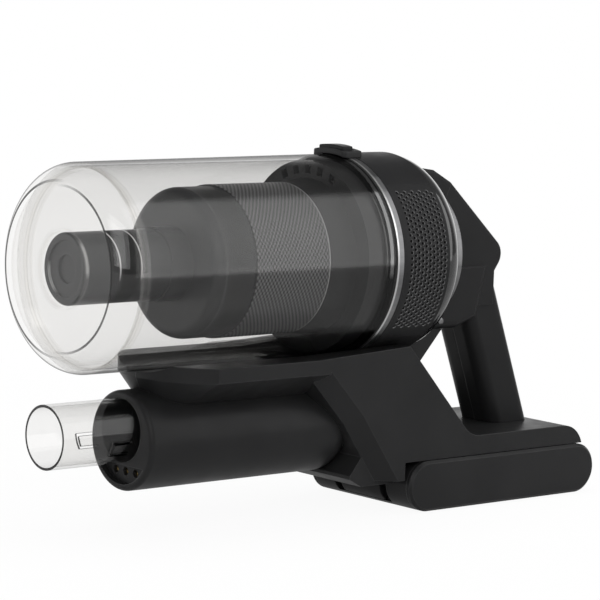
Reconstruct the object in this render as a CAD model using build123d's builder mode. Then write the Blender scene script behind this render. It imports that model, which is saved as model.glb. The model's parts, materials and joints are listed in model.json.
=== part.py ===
from build123d import *
import os
from math import cos, degrees, hypot, radians, sin, sqrt

# A cordless handheld vacuum. Millimetres. The origin is the middle of the battery's flat underside,
# +X points to the rear, +Z up, and the vacuum is symmetric about the XZ plane.

# Clearances
move_gap = 0.35
seat_gap = 0.05
running_gap = 0.05

# Bin, lid and the axis that they share with the motor
neck_gap = 11.3
bin_radius = 58.0
bin_wall = 2.2
bin_draft = 1.0
bin_length = 179.5
gasket_thickness = 1.7
lid_depth = 14.6
lid_rounding = 9.7
lid_wall = 2.4
skirt_length = 7.0
skirt_wall = 2.4
seal_width = 2.0
seal_depth = 1.0
cup_ring_width = 1.4
cup_ring_height = 3.0

# Cyclone
flange_depth = 17.5
flange_thickness = 3.0
flange_rim = 2.5
cage_base_length = 18.0
cage_flare = 2.6
dust_gap = 12.9
cage_wall = 2.0
cage_length = 53.4
cage_windows = 10
cage_rib = 3.0
mesh_thickness = 0.5
cap_length = 27.0
cap_step = 0.4
cap_wall = 2.4
cap_rounding = 6.0
cup_radius = 20.0
cup_wall = 2.0
cup_tip_gap = 3.0
cup_collar_proud = 0.8
cup_collar_length = 15.0
cup_dish_radius = 15.5
cup_dish_depth = 2.4
cone_count = 8
cone_inset = 15.9
cone_mouth_radius = 9.6
cone_tip_radius = 5.0
cone_wall = 1.4
cone_length = 62.0
cone_plate = 4.0
window_count = 5
window_size = 5.0
window_start = 66.0
window_spread = 60.0
port_radius = 13.0
hood_length = 62.0
hood_half_width = 14.0
hood_rise = 8.0
hood_wall = 1.5

# Motor drum, its grilles and its rings
drum_front = -102.0
drum_length = 35.5
drum_step = 0.4
drum_wall = 2.5
ring_width = 4.5
ring_step = 0.2
ring_edge = 0.8
grille_margin = 1.5
grille_half_angle = 48.0
grille_columns = 7
grille_rows = 15
grille_hole = 1.5
bell_length = 15.0
bell_step = 0.5
bell_taper = 9.5
bell_wall = 2.5
groove_depth = 5.0
groove_width = 4.5
boss_step = 4.0
boss_length = 7.0
satin_ring_proud = 2.0
satin_ring_width = 4.5

# Motor and filters
tunnel_inset = 14.0
tunnel_wall = 2.0
tunnel_length = 17.5
filter_depth = 12.0
exhaust_filter_thickness = 3.0
can_radius = 25.0
can_wall = 1.6
can_length = 36.0
shaft_radius = 2.5
bearing_radius = 6.5
bearing_width = 4.0
magnet_radius = 9.0
magnet_length = 12.0
motor_spacing = 2.0
stator_inner = 10.2
stator_teeth = 6
tooth_width = 5.0
impeller_radius = 22.0
impeller_hub = 6.0
impeller_height = 7.0
impeller_blades = 7
blade_thickness = 1.2
blade_lean = 25.0
mount_ring_radius = 18.0
mount_ring_wall = 5.0

# Bin latch on top of the drum
latch_half_width = 24.0
latch_length = 16.0
latch_overhang = 6.0
latch_base_height = 3.4
latch_proud = 5.4
latch_button_inset = 3.0
latch_button_length = 8.5
latch_button_half_width = 10.5
latch_travel = 1.6
latch_corner = 2.0
latch_button_corner = 1.2
latch_edge = 0.8

# Nozzle housing, inlet tube and duct
housing_height = 51.5
housing_radius = 28.2
housing_wall = 2.4
housing_rim = 3.8
housing_rounding = 2.6
housing_front = -256.0
housing_length = 151.0
housing_nose = 16.0
tube_rise = 5.9
tube_radius = 18.0
tube_wall = 1.5
tube_exposed = 52.0
tube_step = 0.2
catch_width = 9.0
catch_length = 13.0
catch_slot = 1.6
catch_inset = 12.0
catch_droop = 25.0
duct_bend = 25.0
duct_start = 6.0
duct_rise_x = -140.0
terminal_depth = 12.0
terminal_recess = 4.0
socket_pitch = 9.0
socket_size = 2.6

# Side shells: neck, leg, chin and dock plate
neck_rise = 4.0
neck_rim_drop = 4.5
neck_foot_drop = 20.0
neck_half_width = 43.0
neck_foot_half_width = 17.0
nose_tip = -247.0
nose_foot_tip = -240.0
nose_shoulder = -222.0
leg_top_x = -79.7
leg_top_rise = 7.9
leg_rear_foot = (-36.1, 51.2)
leg_fillet = 16.0
leg_bevel = 9.0
leg_shin = (-121.0, 54.8)
leg_shoulder_x = -149.0
leg_shoulder_drop = 6.5
chin_half_width = 34.0
chin_front = -115.0
chin_bottom = 17.0
chin_lip = 24.0
chin_gap = 3.0
chin_edge = 2.0
chin_rise = 5.0
plate_thickness = 11.6
plate_rear = 67.0
plate_round = 16.0
shell_wall = 3.0

# Battery
battery_length = 154.0
battery_width = 90.0
battery_height = 30.0
battery_wall = 2.4
battery_cap = 4.0
cap_bevel = 1.6
cell_diameter = 18.2
cell_length = 65.0
cell_pitch = 18.7
cell_count = 7
cell_gap = 0.3
holder_thickness = 4.0
holder_web = 1.5
board_thickness = 1.6
rail_spread = 30.0
rail_stem = 4.0
rail_head = 8.0
rail_head_height = 2.5
rail_drop = 5.5
rail_front = -45.0
rail_length = 90.0
release_half_width = 17.5
release_low = 3.6
release_high = 20.2
release_depth = 6.5
release_travel = 2.4
finger_slot = 6.0
dock_terminal_length = 15.0
dock_terminal_half_width = 12.0
dock_terminal_drop = 6.2

# Handle
head_half_width = 17.5
crown_tip_at = (-51.0, 50.8)
crown_knee_at = (-41.5, 49.5)
slope_top_at = (-27.4, 42.1)
slope_end_at = (13.2, 5.4)
nose_point_at = (17.0, -3.0)
nose_low_at = (15.2, -8.4)
waist_at = (10.6, -15.0)
head_floor_drop = 33.0
neck_bulge_half_width = 19.5
bulge_front = -46.0
bulge_flat_end = -20.0
bulge_crease_at = (4.5, -9.5)
bulge_rounding = 5.0
bulge_rear_at = (-3.2, -40.5)
web_half_width = 14.0
web_foot_drop = 18.8
web_top_at = (-27.5, -46.0)
grip_half_width = 16.0
grip_depth = 30.3
grip_corner = 8.0
grip_foot_x = 34.4
grip_lean = 0.378
grip_top_drop = 11.0
grip_hollow_drop = 18.0
grip_wall = 3.0
pad_thickness = 1.2
pad_half_angle = 66.0
pad_low = 48.0
pad_high = 92.0
pin_radius = 2.0
pin_at = (-34.5, -40.4)
screw_radius = 1.5
screw_head_radius = 2.8
screw_head = 1.8
screw_sink = 0.6
screw_reach = 9.0
screws_at = ((-26.5, -31.0), (-14.0, -29.0))
nose_screw_at = (8.5, -3.0)
head_rounding = 2.5
head_hollow_drop = 21.0
head_hollow_rise = 16.0
roof_thickness = 5.2
seam_lean = 26.6

# Control panel on the handle's sloped face
panel_width = 27.0
panel_length = 47.0
panel_thickness = 2.0
panel_corner = 5.0
lens_width = 21.0
lens_length = 15.0
lens_place = 13.0
lens_thickness = 1.2
power_radius = 6.0
power_place = -14.0
side_button_radius = 4.2
side_button_spread = 7.5
side_button_place = -1.5
button_proud = 0.8
button_stem = 3.6
button_travel = 1.0
board_drop = 6.4

# Heights, and radii about the bin axis
bin_seat = housing_height + housing_radius + neck_gap
axis_height = bin_seat + bin_radius
bin_axis = Axis((0, 0, axis_height), (1, 0, 0))
bin_bore = bin_radius - bin_wall
lid_face_radius = bin_radius - lid_rounding
cage_radius = bin_bore - dust_gap
cage_base_radius = cage_radius + cage_flare
cap_radius = cage_radius - cap_step
cone_ring_radius = cage_radius - cone_inset
bin_rear_radius = bin_radius + bin_draft
drum_radius = bin_rear_radius + drum_step
drum_bore = drum_radius - drum_wall
ring_radius = drum_radius - ring_step
bell_front_radius = drum_radius - bell_step
bell_rear_radius = bell_front_radius - bell_taper
groove_radius = bell_rear_radius - groove_depth
boss_radius = groove_radius - boss_step
satin_ring_radius = boss_radius + satin_ring_proud
tunnel_radius = drum_radius - tunnel_inset
trough_radius = bin_rear_radius + move_gap
tube_height = housing_height + tube_rise
neck_top = bin_seat + neck_rise
neck_rim = bin_seat - neck_rim_drop
neck_foot = bin_seat - neck_foot_drop
leg_top_rear = (leg_top_x, bin_seat + leg_top_rise)
leg_shoulder = (leg_shoulder_x, bin_seat - leg_shoulder_drop)



def above_axis(place):
    """Point on the XZ plane from a station and a rise above the bin axis."""
    return (place[0], axis_height + place[1])


crown_tip = above_axis(crown_tip_at)
crown_knee = above_axis(crown_knee_at)
slope_top = above_axis(slope_top_at)
slope_end = above_axis(slope_end_at)
nose_point = above_axis(nose_point_at)
nose_low = above_axis(nose_low_at)
waist = above_axis(waist_at)
bulge_crease = above_axis(bulge_crease_at)
bulge_rear = above_axis(bulge_rear_at)
web_top = above_axis(web_top_at)
pin_place = above_axis(pin_at)
screw_places = [above_axis(place) for place in screws_at]
nose_screw = above_axis(nose_screw_at)
head_floor = axis_height - head_floor_drop
head_hollow_low = axis_height - head_hollow_drop
head_hollow_high = axis_height + head_hollow_rise
grip_top = axis_height - grip_top_drop
grip_hollow_top = axis_height - grip_hollow_drop
web_foot = bin_seat - web_foot_drop

# Stations along the bin axis
ring_front = drum_front - ring_width
bin_rear = ring_front - move_gap - gasket_thickness
bin_front = bin_rear - bin_length
lid_front = bin_front - lid_depth
flange_front = bin_rear - flange_depth
cage_rear = flange_front - cage_base_length
cage_front = cage_rear - cage_length
cap_front = cage_front - cap_length
cup_front = lid_front + lid_wall + cup_tip_gap
drum_rear = drum_front + drum_length
bell_rear = drum_rear + bell_length
wall_front = bell_rear + groove_width - bell_wall
wall_rear = bell_rear + groove_width
boss_rear = wall_rear + boss_length
housing_rear = housing_front + housing_length
tube_front = housing_front - tube_exposed
tube_rear = duct_rise_x - duct_bend - duct_start
tube_bore = tube_radius - tube_wall
plate_bottom = battery_height + move_gap
plate_top = plate_bottom + plate_thickness
half_battery = battery_length / 2

os.makedirs("parts", exist_ok=True)


def axial(points):
    """Points on the XZ plane from pairs of station and radius about the bin axis."""
    return [(x, axis_height + radius) for x, radius in points]


def axial_plane(angle):
    """Plane through the bin axis, with its local y pointing outward at an angle from +Y towards +Z."""
    turn = radians(angle)
    return Plane((0, 0, axis_height), x_dir=(1, 0, 0), z_dir=(0, -sin(turn), cos(turn)))


def cross_plane(x, height):
    """Plane square to the X axis at a station, with local x along +Y and local y along +Z."""
    return Plane((x, 0, height), x_dir=(0, 1, 0), z_dir=(1, 0, 0))


def save(builder, name):
    """Label a finished piece and write it to its own file."""
    builder.part.label = name
    export_step(builder.part, f"parts/{name}.step")


# Clear bin: an open tube with a port in its floor above the duct.
with BuildPart() as bin_shell:
    with BuildSketch(Plane.XZ):
        with BuildLine():
            Polyline(
                *axial([(bin_front, bin_bore), (bin_front, bin_radius)]),
                *axial([(bin_rear, bin_rear_radius), (bin_rear, bin_bore)]),
                close=True,
            )
        make_face()
    revolve(axis=bin_axis)
    with BuildSketch(Plane.XY.offset(axis_height - bin_radius - bin_wall)):
        with Locations((duct_rise_x, 0)):
            Circle(port_radius)
    extrude(amount=4 * bin_wall, mode=Mode.SUBTRACT)
save(bin_shell, "bin_shell")

# Soft ring between the bin's rear edge and the drum.
with BuildPart() as bin_gasket:
    with BuildSketch(cross_plane(bin_rear, axis_height)):
        Circle(bin_rear_radius)
        Circle(bin_bore, mode=Mode.SUBTRACT)
    extrude(amount=gasket_thickness)
save(bin_gasket, "bin_gasket")

# Clear front lid, which plugs into the bin with a skirt and a seal groove.
skirt_radius = bin_bore - move_gap
skirt_bore = skirt_radius - skirt_wall
seal_front = bin_front + (skirt_length - seal_width) / 2
lid_inner_face = lid_front + lid_wall
cup_ring_bore = cup_radius + 2 * move_gap
with BuildPart() as bin_lid:
    with BuildSketch(Plane.XZ):
        with BuildLine():
            Line(*axial([(lid_front, 0), (lid_front, lid_face_radius)]))
            TangentArc(*axial([(bin_front, bin_radius), (lid_front, lid_face_radius)]), tangent=(-1, 0))
            Polyline(
                *axial(
                    [
                        (bin_front, bin_radius),
                        (bin_front, skirt_radius),
                        (seal_front, skirt_radius),
                        (seal_front, skirt_radius - seal_depth),
                        (seal_front + seal_width, skirt_radius - seal_depth),
                        (seal_front + seal_width, skirt_radius),
                        (bin_front + skirt_length, skirt_radius),
                        (bin_front + skirt_length, skirt_bore),
                        (bin_front, skirt_bore),
                    ]
                )
            )
            TangentArc(
                *axial([(bin_front, skirt_bore), (lid_inner_face, lid_face_radius - lid_wall)]),
                tangent=(-1, 0),
            )
            Polyline(
                *axial(
                    [
                        (lid_inner_face, lid_face_radius - lid_wall),
                        (lid_inner_face, cup_ring_bore + cup_ring_width),
                        (lid_inner_face + cup_ring_height, cup_ring_bore + cup_ring_width),
                        (lid_inner_face + cup_ring_height, cup_ring_bore),
                        (lid_inner_face, cup_ring_bore),
                        (lid_inner_face, 0),
                        (lid_front, 0),
                    ]
                )
            )
        make_face()
    revolve(axis=bin_axis)
save(bin_lid, "bin_lid")

with BuildPart() as lid_seal:
    with BuildSketch(cross_plane(seal_front + seat_gap, axis_height)):
        Circle(bin_bore - move_gap / 2)
        Circle(skirt_radius - seal_depth + seat_gap, mode=Mode.SUBTRACT)
    extrude(amount=seal_width - 2 * seat_gap)
save(lid_seal, "lid_seal")

# Clear hood on the bin's floor that turns the incoming air round the wall.
hood_floor = axis_height - sqrt(bin_bore**2 - hood_half_width**2) + 2 * seat_gap
hood_front = duct_rise_x - hood_length
hood_rear = duct_rise_x + port_radius
hood_bore = hood_half_width - hood_wall
with BuildPart() as inlet_hood:
    with BuildSketch(cross_plane(hood_front, hood_floor)):
        with BuildLine():
            ThreePointArc((-hood_half_width, 0), (0, hood_rise), (hood_half_width, 0))
            Line((hood_half_width, 0), (hood_bore, 0))
            ThreePointArc((hood_bore, 0), (0, hood_rise - hood_wall), (-hood_bore, 0))
            Line((-hood_bore, 0), (-hood_half_width, 0))
        make_face()
    extrude(amount=hood_rear - hood_front)
    with BuildSketch(Plane.XZ):
        with BuildLine():
            Polyline(
                (hood_front, hood_floor + hood_wall),
                (hood_front + 2 * hood_rise, hood_floor + hood_wall + hood_rise),
                (hood_front, hood_floor + hood_wall + hood_rise),
                close=True,
            )
        make_face()
    extrude(amount=2 * hood_half_width, both=True, mode=Mode.SUBTRACT)
save(inlet_hood, "inlet_hood")

# Rear flange of the cyclone with the tapered base of the cage and a row of small windows at its top.
flange_radius = bin_bore - seat_gap
plate_radius = cage_radius - cage_wall
with BuildPart() as cyclone_flange:
    with BuildSketch(Plane.XZ):
        with BuildLine():
            Polyline(
                *axial(
                    [
                        (cage_rear, plate_radius),
                        (cage_rear, cage_radius),
                        (flange_front, cage_base_radius),
                        (flange_front, flange_radius),
                        (bin_rear, flange_radius),
                        (bin_rear, flange_radius - flange_rim),
                        (flange_front + flange_thickness, flange_radius - flange_rim),
                        (flange_front + flange_thickness, plate_radius),
                    ]
                ),
                close=True,
            )
        make_face()
    revolve(axis=bin_axis)
    with BuildSketch(cross_plane(flange_front - flange_thickness, axis_height)):
        with PolarLocations(
            (cage_base_radius + flange_radius) / 2,
            window_count,
            start_angle=window_start,
            angular_range=window_spread,
        ):
            Rectangle(window_size, window_size)
    extrude(amount=3 * flange_thickness, mode=Mode.SUBTRACT)
save(cyclone_flange, "cyclone_flange")

# Cage with tall windows under the mesh.
window_length = cage_length - 2 * cage_rib
window_angle = 360 / cage_windows - degrees(cage_rib / cage_radius)
with BuildPart() as mesh_cage:
    with BuildSketch(cross_plane(cage_front, axis_height)):
        Circle(cage_radius)
        Circle(cage_radius - cage_wall, mode=Mode.SUBTRACT)
    extrude(amount=cage_length)
    for index in range(cage_windows):
        with BuildSketch(axial_plane(index * 360 / cage_windows)):
            with Locations(((cage_front + cage_rear) / 2, cage_radius)):
                Rectangle(window_length, 4 * cage_wall)
        revolve(axis=bin_axis, revolution_arc=window_angle, mode=Mode.SUBTRACT)
save(mesh_cage, "mesh_cage")

with BuildPart() as mesh_screen:
    with BuildSketch(cross_plane(cage_front + seat_gap, axis_height)):
        Circle(cage_radius + seat_gap + mesh_thickness)
        Circle(cage_radius + seat_gap, mode=Mode.SUBTRACT)
    extrude(amount=cage_length - 2 * seat_gap)
save(mesh_screen, "mesh_screen")

# Rounded front cap of the cyclone, with the hole that holds the fine-dust cup.
cup_hole = cup_radius + seat_gap
with BuildPart() as shroud_cap:
    with BuildSketch(Plane.XZ):
        with BuildLine():
            Line(*axial([(cap_front, cup_hole), (cap_front, cap_radius - cap_rounding)]))
            RadiusArc(
                *axial([(cap_front, cap_radius - cap_rounding), (cap_front + cap_rounding, cap_radius)]),
                cap_rounding,
            )
            Polyline(
                *axial(
                    [
                        (cap_front + cap_rounding, cap_radius),
                        (cage_front, cap_radius),
                        (cage_front, cap_radius - cap_wall),
                        (cap_front + cap_rounding, cap_radius - cap_wall),
                        (cap_front + cap_wall, cap_radius - cap_rounding),
                        (cap_front + cap_wall, cup_hole),
                        (cap_front, cup_hole),
                    ]
                )
            )
        make_face()
    revolve(axis=bin_axis)
save(shroud_cap, "shroud_cap")

# Fine-dust cup: a dished front and a collar on the cap.
funnel_start = cap_front + cap_rounding
cup_floor = cup_front + cup_dish_depth + cup_wall
cup_collar_radius = cup_radius + cup_collar_proud
with BuildPart() as fine_dust_cup:
    with BuildSketch(Plane.XZ):
        with BuildLine():
            Polyline(
                *axial(
                    [
                        (cup_front + cup_dish_depth, 0),
                        (cup_front + cup_dish_depth, cup_dish_radius / 2),
                        (cup_front + cup_dish_depth / 2, cup_dish_radius / 2),
                        (cup_front + cup_dish_depth / 2, cup_dish_radius),
                        (cup_front, cup_dish_radius),
                        (cup_front, cup_radius - cup_wall / 2),
                        (cup_front + cup_wall / 2, cup_radius),
                        (cap_front - cup_collar_length, cup_radius),
                        (cap_front - cup_collar_length, cup_collar_radius),
                        (cap_front, cup_collar_radius),
                        (cap_front, cup_radius),
                        (funnel_start, cup_radius),
                        (funnel_start, cup_radius - cup_wall),
                        (cup_floor, cup_radius - cup_wall),
                        (cup_floor, 0),
                    ]
                ),
                close=True,
            )
        make_face()
    revolve(axis=bin_axis)
save(fine_dust_cup, "fine_dust_cup")

# Funnel behind the cup, which gathers what falls from the cones.
funnel_rear = cage_front + cap_wall
funnel_radius = cap_radius - cap_wall - 2 * seat_gap
with BuildPart() as dust_funnel:
    with BuildSketch(Plane.XZ):
        with BuildLine():
            Polyline(
                *axial(
                    [
                        (funnel_start, cup_radius - cup_wall),
                        (funnel_start, cup_radius),
                        (cage_front, funnel_radius),
                        (funnel_rear, funnel_radius),
                        (funnel_rear, funnel_radius - cup_wall),
                        (cage_front, funnel_radius - cup_wall),
                    ]
                ),
                close=True,
            )
        make_face()
    revolve(axis=bin_axis)
save(dust_funnel, "dust_funnel")

# Ring of small cyclone cones hung from one plate.
cone_rear = flange_front + flange_thickness
cone_front = cone_rear - cone_length
on_base = (Align.CENTER, Align.CENTER, Align.MIN)
with BuildPart(cross_plane(cone_front, axis_height)) as cone_pack:
    with PolarLocations(cone_ring_radius, cone_count):
        Cone(cone_tip_radius, cone_mouth_radius, cone_length, align=on_base)
    with Locations((0, 0, cone_length - cone_plate)):
        Cylinder(plate_radius - seat_gap, cone_plate, align=on_base)
    with PolarLocations(cone_ring_radius, cone_count):
        Cone(
            cone_tip_radius - cone_wall,
            cone_mouth_radius - cone_wall,
            cone_length,
            align=on_base,
            mode=Mode.SUBTRACT,
        )
save(cone_pack, "cone_pack")

# Satin ring at the front of the drum.
ring_bore = drum_bore - seat_gap
with BuildPart() as front_ring:
    with BuildSketch(cross_plane(ring_front, axis_height)):
        Circle(ring_radius)
        Circle(ring_bore, mode=Mode.SUBTRACT)
    extrude(amount=ring_width)
    ring_front_edges = front_ring.edges().filter_by(GeomType.CIRCLE).sort_by(Axis.X)[:2]
    chamfer(ring_front_edges.sort_by(SortBy.RADIUS)[-1:], ring_edge)
save(front_ring, "front_ring")

# Drum with a window on each side for the exhaust grilles.
grille_front = drum_front + grille_margin
grille_length = drum_length - 2 * grille_margin
gap_angle = degrees(seat_gap / drum_radius)
with BuildPart() as motor_drum:
    with BuildSketch(cross_plane(drum_front, axis_height)):
        Circle(drum_radius)
        Circle(drum_bore, mode=Mode.SUBTRACT)
    extrude(amount=drum_length)
    for side_angle in (0, 180):
        with BuildSketch(axial_plane(side_angle - grille_half_angle)):
            with Locations((grille_front + grille_length / 2, drum_radius)):
                Rectangle(grille_length, 4 * drum_wall)
        revolve(axis=bin_axis, revolution_arc=2 * grille_half_angle, mode=Mode.SUBTRACT)
save(motor_drum, "motor_drum")

# Perforated exhaust grilles: staggered six-sided holes through a curved panel on each side.
row_angle = 2 * grille_half_angle / (grille_rows + 1)
column_pitch = grille_length / (grille_columns + 0.5)
panel_half_angle = grille_half_angle - gap_angle
for side_angle, grille_name in ((180, "grille_left"), (0, "grille_right")):
    hole_planes = []
    for column in range(grille_columns):
        for row in range(grille_rows):
            stagger = 0.25 if column % 2 else -0.25
            turn = radians(side_angle + (row - (grille_rows - 1) / 2 + stagger) * row_angle)
            outward = Vector(0, cos(turn), sin(turn))
            station = grille_front + (column + 0.75) * column_pitch
            origin = Vector(station, 0, axis_height) + outward * (drum_radius + drum_wall)
            hole_planes.append(Plane(origin, x_dir=(1, 0, 0), z_dir=-outward))
    with BuildPart() as grille:
        with BuildSketch(axial_plane(side_angle - panel_half_angle)):
            with Locations((grille_front + grille_length / 2, drum_radius - drum_wall / 2)):
                Rectangle(grille_length - 2 * seat_gap, drum_wall)
        revolve(axis=bin_axis, revolution_arc=2 * panel_half_angle)
        with BuildSketch(*hole_planes):
            RegularPolygon(grille_hole, 6)
        extrude(amount=3 * drum_wall, mode=Mode.SUBTRACT)
    save(grille, grille_name)

# Rear bell: a glossy shoulder, a dark groove and a closed rear wall with a boss.
with BuildPart() as rear_bell:
    with BuildSketch(Plane.XZ):
        with BuildLine():
            TangentArc(
                *axial([(drum_rear, bell_front_radius), (bell_rear, bell_rear_radius)]),
                tangent=(1, 0),
            )
            Polyline(
                *axial(
                    [
                        (bell_rear, bell_rear_radius),
                        (bell_rear, groove_radius),
                        (wall_rear, groove_radius),
                        (wall_rear, boss_radius),
                        (boss_rear, boss_radius),
                        (boss_rear, 0),
                        (wall_front, 0),
                        (wall_front, groove_radius - bell_wall),
                        (bell_rear - bell_wall, groove_radius - bell_wall),
                        (bell_rear - bell_wall, bell_rear_radius - bell_wall),
                    ]
                )
            )
            TangentArc(
                *axial([(drum_rear, bell_front_radius - bell_wall)]),
                *axial([(bell_rear - bell_wall, bell_rear_radius - bell_wall)]),
                tangent=(1, 0),
            )
            Line(*axial([(drum_rear, bell_front_radius - bell_wall), (drum_rear, bell_front_radius)]))
        make_face()
    revolve(axis=bin_axis)
save(rear_bell, "rear_bell")

satin_front = boss_rear - satin_ring_width
with BuildPart() as satin_ring:
    with BuildSketch(cross_plane(satin_front, axis_height)):
        Circle(satin_ring_radius)
        Circle(boss_radius + seat_gap, mode=Mode.SUBTRACT)
    extrude(amount=satin_ring_width)
    fillet(satin_ring.edges().filter_by(GeomType.CIRCLE).sort_by(SortBy.RADIUS)[-2:], ring_edge)
save(satin_ring, "satin_ring")

# Moulded cradle: an intake tunnel, a front flange and the wall that holds the motor.
cradle_front = ring_front + move_gap
tunnel_rear = cradle_front + tunnel_length
with BuildPart() as motor_cradle:
    with BuildSketch(Plane.XZ):
        with BuildLine():
            Polyline(
                *axial(
                    [
                        (cradle_front, tunnel_radius - tunnel_wall),
                        (cradle_front, ring_bore - seat_gap),
                        (cradle_front + tunnel_wall, ring_bore - seat_gap),
                        (cradle_front + tunnel_wall, tunnel_radius),
                        (tunnel_rear, tunnel_radius),
                        (tunnel_rear, can_radius + seat_gap),
                        (tunnel_rear - tunnel_wall, can_radius + seat_gap),
                        (tunnel_rear - tunnel_wall, tunnel_radius - tunnel_wall),
                    ]
                ),
                close=True,
            )
        make_face()
    revolve(axis=bin_axis)
save(motor_cradle, "motor_cradle")

with BuildPart() as pre_filter:
    with BuildSketch(cross_plane(tunnel_rear - tunnel_wall - filter_depth, axis_height)):
        Circle(tunnel_radius - tunnel_wall - seat_gap)
    extrude(amount=filter_depth)
save(pre_filter, "pre_filter")

with BuildPart() as exhaust_filter:
    with BuildSketch(cross_plane(cradle_front + tunnel_wall, axis_height)):
        Circle(ring_bore - seat_gap)
        Circle(ring_bore - seat_gap - exhaust_filter_thickness, mode=Mode.SUBTRACT)
    extrude(amount=drum_rear - cradle_front - tunnel_wall)
save(exhaust_filter, "exhaust_filter")

# Motor: can, stator, bearings, rotor with its shaft, and impeller.
can_front = tunnel_rear - tunnel_wall
can_rear = can_front + can_length
rear_bearing_front = can_rear - can_wall - bearing_width
magnet_front = rear_bearing_front - motor_spacing - magnet_length
front_bearing_front = magnet_front - motor_spacing - bearing_width
can_bore = can_radius - can_wall
with BuildPart() as motor_can:
    with BuildSketch(Plane.XZ):
        with BuildLine():
            Polyline(
                *axial(
                    [
                        (can_front, can_bore),
                        (can_front, can_radius),
                        (can_rear, can_radius),
                        (can_rear, shaft_radius + motor_spacing),
                        (can_rear - can_wall, shaft_radius + motor_spacing),
                        (can_rear - can_wall, bearing_radius + seat_gap),
                        (rear_bearing_front, bearing_radius + seat_gap),
                        (rear_bearing_front, bearing_radius + can_wall),
                        (can_rear - can_wall, bearing_radius + can_wall),
                        (can_rear - can_wall, can_bore),
                        (front_bearing_front + bearing_width, can_bore),
                        (front_bearing_front + bearing_width, bearing_radius + seat_gap),
                        (front_bearing_front, bearing_radius + seat_gap),
                        (front_bearing_front, can_bore),
                    ]
                ),
                close=True,
            )
        make_face()
    revolve(axis=bin_axis)
save(motor_can, "motor_can")

for bearing_x, bearing_name in ((front_bearing_front, "front_bearing"), (rear_bearing_front, "rear_bearing")):
    with BuildPart() as bearing:
        with BuildSketch(cross_plane(bearing_x, axis_height)):
            Circle(bearing_radius)
            Circle(shaft_radius + running_gap, mode=Mode.SUBTRACT)
        extrude(amount=bearing_width)
    save(bearing, bearing_name)

with BuildPart() as stator:
    with BuildSketch(cross_plane(magnet_front, axis_height)):
        Circle(can_bore - seat_gap)
        Circle(can_bore - seat_gap - tooth_width, mode=Mode.SUBTRACT)
        with PolarLocations((can_bore + stator_inner) / 2 - seat_gap, stator_teeth):
            Rectangle(can_bore - stator_inner - tooth_width / 2, tooth_width)
        Circle(stator_inner, mode=Mode.SUBTRACT)
    extrude(amount=magnet_length)
save(stator, "stator")

impeller_rear = front_bearing_front - motor_spacing / 2
impeller_front = impeller_rear - impeller_height
with BuildPart() as rotor_shaft:
    with BuildSketch(cross_plane(impeller_front, axis_height)):
        Circle(shaft_radius)
    extrude(amount=can_rear - impeller_front)
    with BuildSketch(cross_plane(magnet_front, axis_height)):
        Circle(magnet_radius)
    extrude(amount=magnet_length)
save(rotor_shaft, "rotor_shaft")

with BuildPart() as impeller:
    with BuildSketch(cross_plane(impeller_rear - blade_thickness, axis_height)):
        Circle(impeller_radius)
    extrude(amount=blade_thickness)
    with BuildSketch(cross_plane(impeller_front, axis_height)):
        Circle(impeller_hub)
        with PolarLocations((impeller_radius + impeller_hub) / 2, impeller_blades):
            Rectangle(impeller_radius - impeller_hub, blade_thickness, rotation=blade_lean)
    extrude(amount=impeller_height - blade_thickness)
    with BuildSketch(cross_plane(impeller_front, axis_height)):
        Circle(shaft_radius + seat_gap)
    extrude(amount=impeller_height, mode=Mode.SUBTRACT)
save(impeller, "impeller")

with BuildPart() as motor_mount:
    with BuildSketch(cross_plane(can_rear, axis_height)):
        Circle(mount_ring_radius)
        Circle(mount_ring_radius - mount_ring_wall, mode=Mode.SUBTRACT)
    extrude(amount=wall_front - can_rear)
save(motor_mount, "motor_mount")

# Latch: a low base that follows the drum's crown out over the bin, and a button that sinks into it.
latch_front = ring_front - latch_overhang
latch_seat = drum_radius + seat_gap
latch_reach = drum_radius + 2 * latch_proud
button_front = latch_front + latch_button_inset
with BuildPart() as latch_base:
    with BuildSketch(cross_plane(latch_front, axis_height)):
        Circle(drum_radius + latch_base_height)
        Circle(latch_seat, mode=Mode.SUBTRACT)
    extrude(amount=latch_length)
    with BuildSketch(Plane.XY.offset(axis_height)):
        with Locations((latch_front + latch_length / 2, 0)):
            RectangleRounded(latch_length, 2 * latch_half_width, latch_corner)
    extrude(amount=latch_reach, mode=Mode.INTERSECT)
    with BuildSketch(Plane.XY.offset(axis_height)):
        with Locations((button_front + latch_button_length / 2, 0)):
            Rectangle(latch_button_length + 2 * move_gap, 2 * (latch_button_half_width + move_gap))
    extrude(amount=latch_reach, mode=Mode.SUBTRACT)
save(latch_base, "latch_base")

with BuildPart() as latch_button:
    with BuildSketch(cross_plane(latch_front, axis_height)):
        Circle(drum_radius + latch_proud)
        Circle(latch_seat + latch_travel + move_gap, mode=Mode.SUBTRACT)
    extrude(amount=latch_length)
    with BuildSketch(Plane.XY.offset(axis_height)):
        with Locations((button_front + latch_button_length / 2, 0)):
            RectangleRounded(latch_button_length, 2 * latch_button_half_width, latch_button_corner)
    extrude(amount=latch_reach, mode=Mode.INTERSECT)
    fillet(latch_button.faces().sort_by(Axis.Z)[-1].edges(), latch_edge)
save(latch_button, "latch_button")

# Nozzle housing: a round case with a rounded rear end, a bore for the tube and a recess for the contacts.
housing_axis = Axis((0, 0, housing_height), (1, 0, 0))
seat_radius = tube_radius - tube_step
bulkhead_rear = housing_front + terminal_recess + terminal_depth + 2 * housing_wall
recess_radius = housing_radius - housing_rim
recess_top = tube_height - tube_radius - housing_wall / 2
duct_top = axis_height - trough_radius - seat_gap


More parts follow.
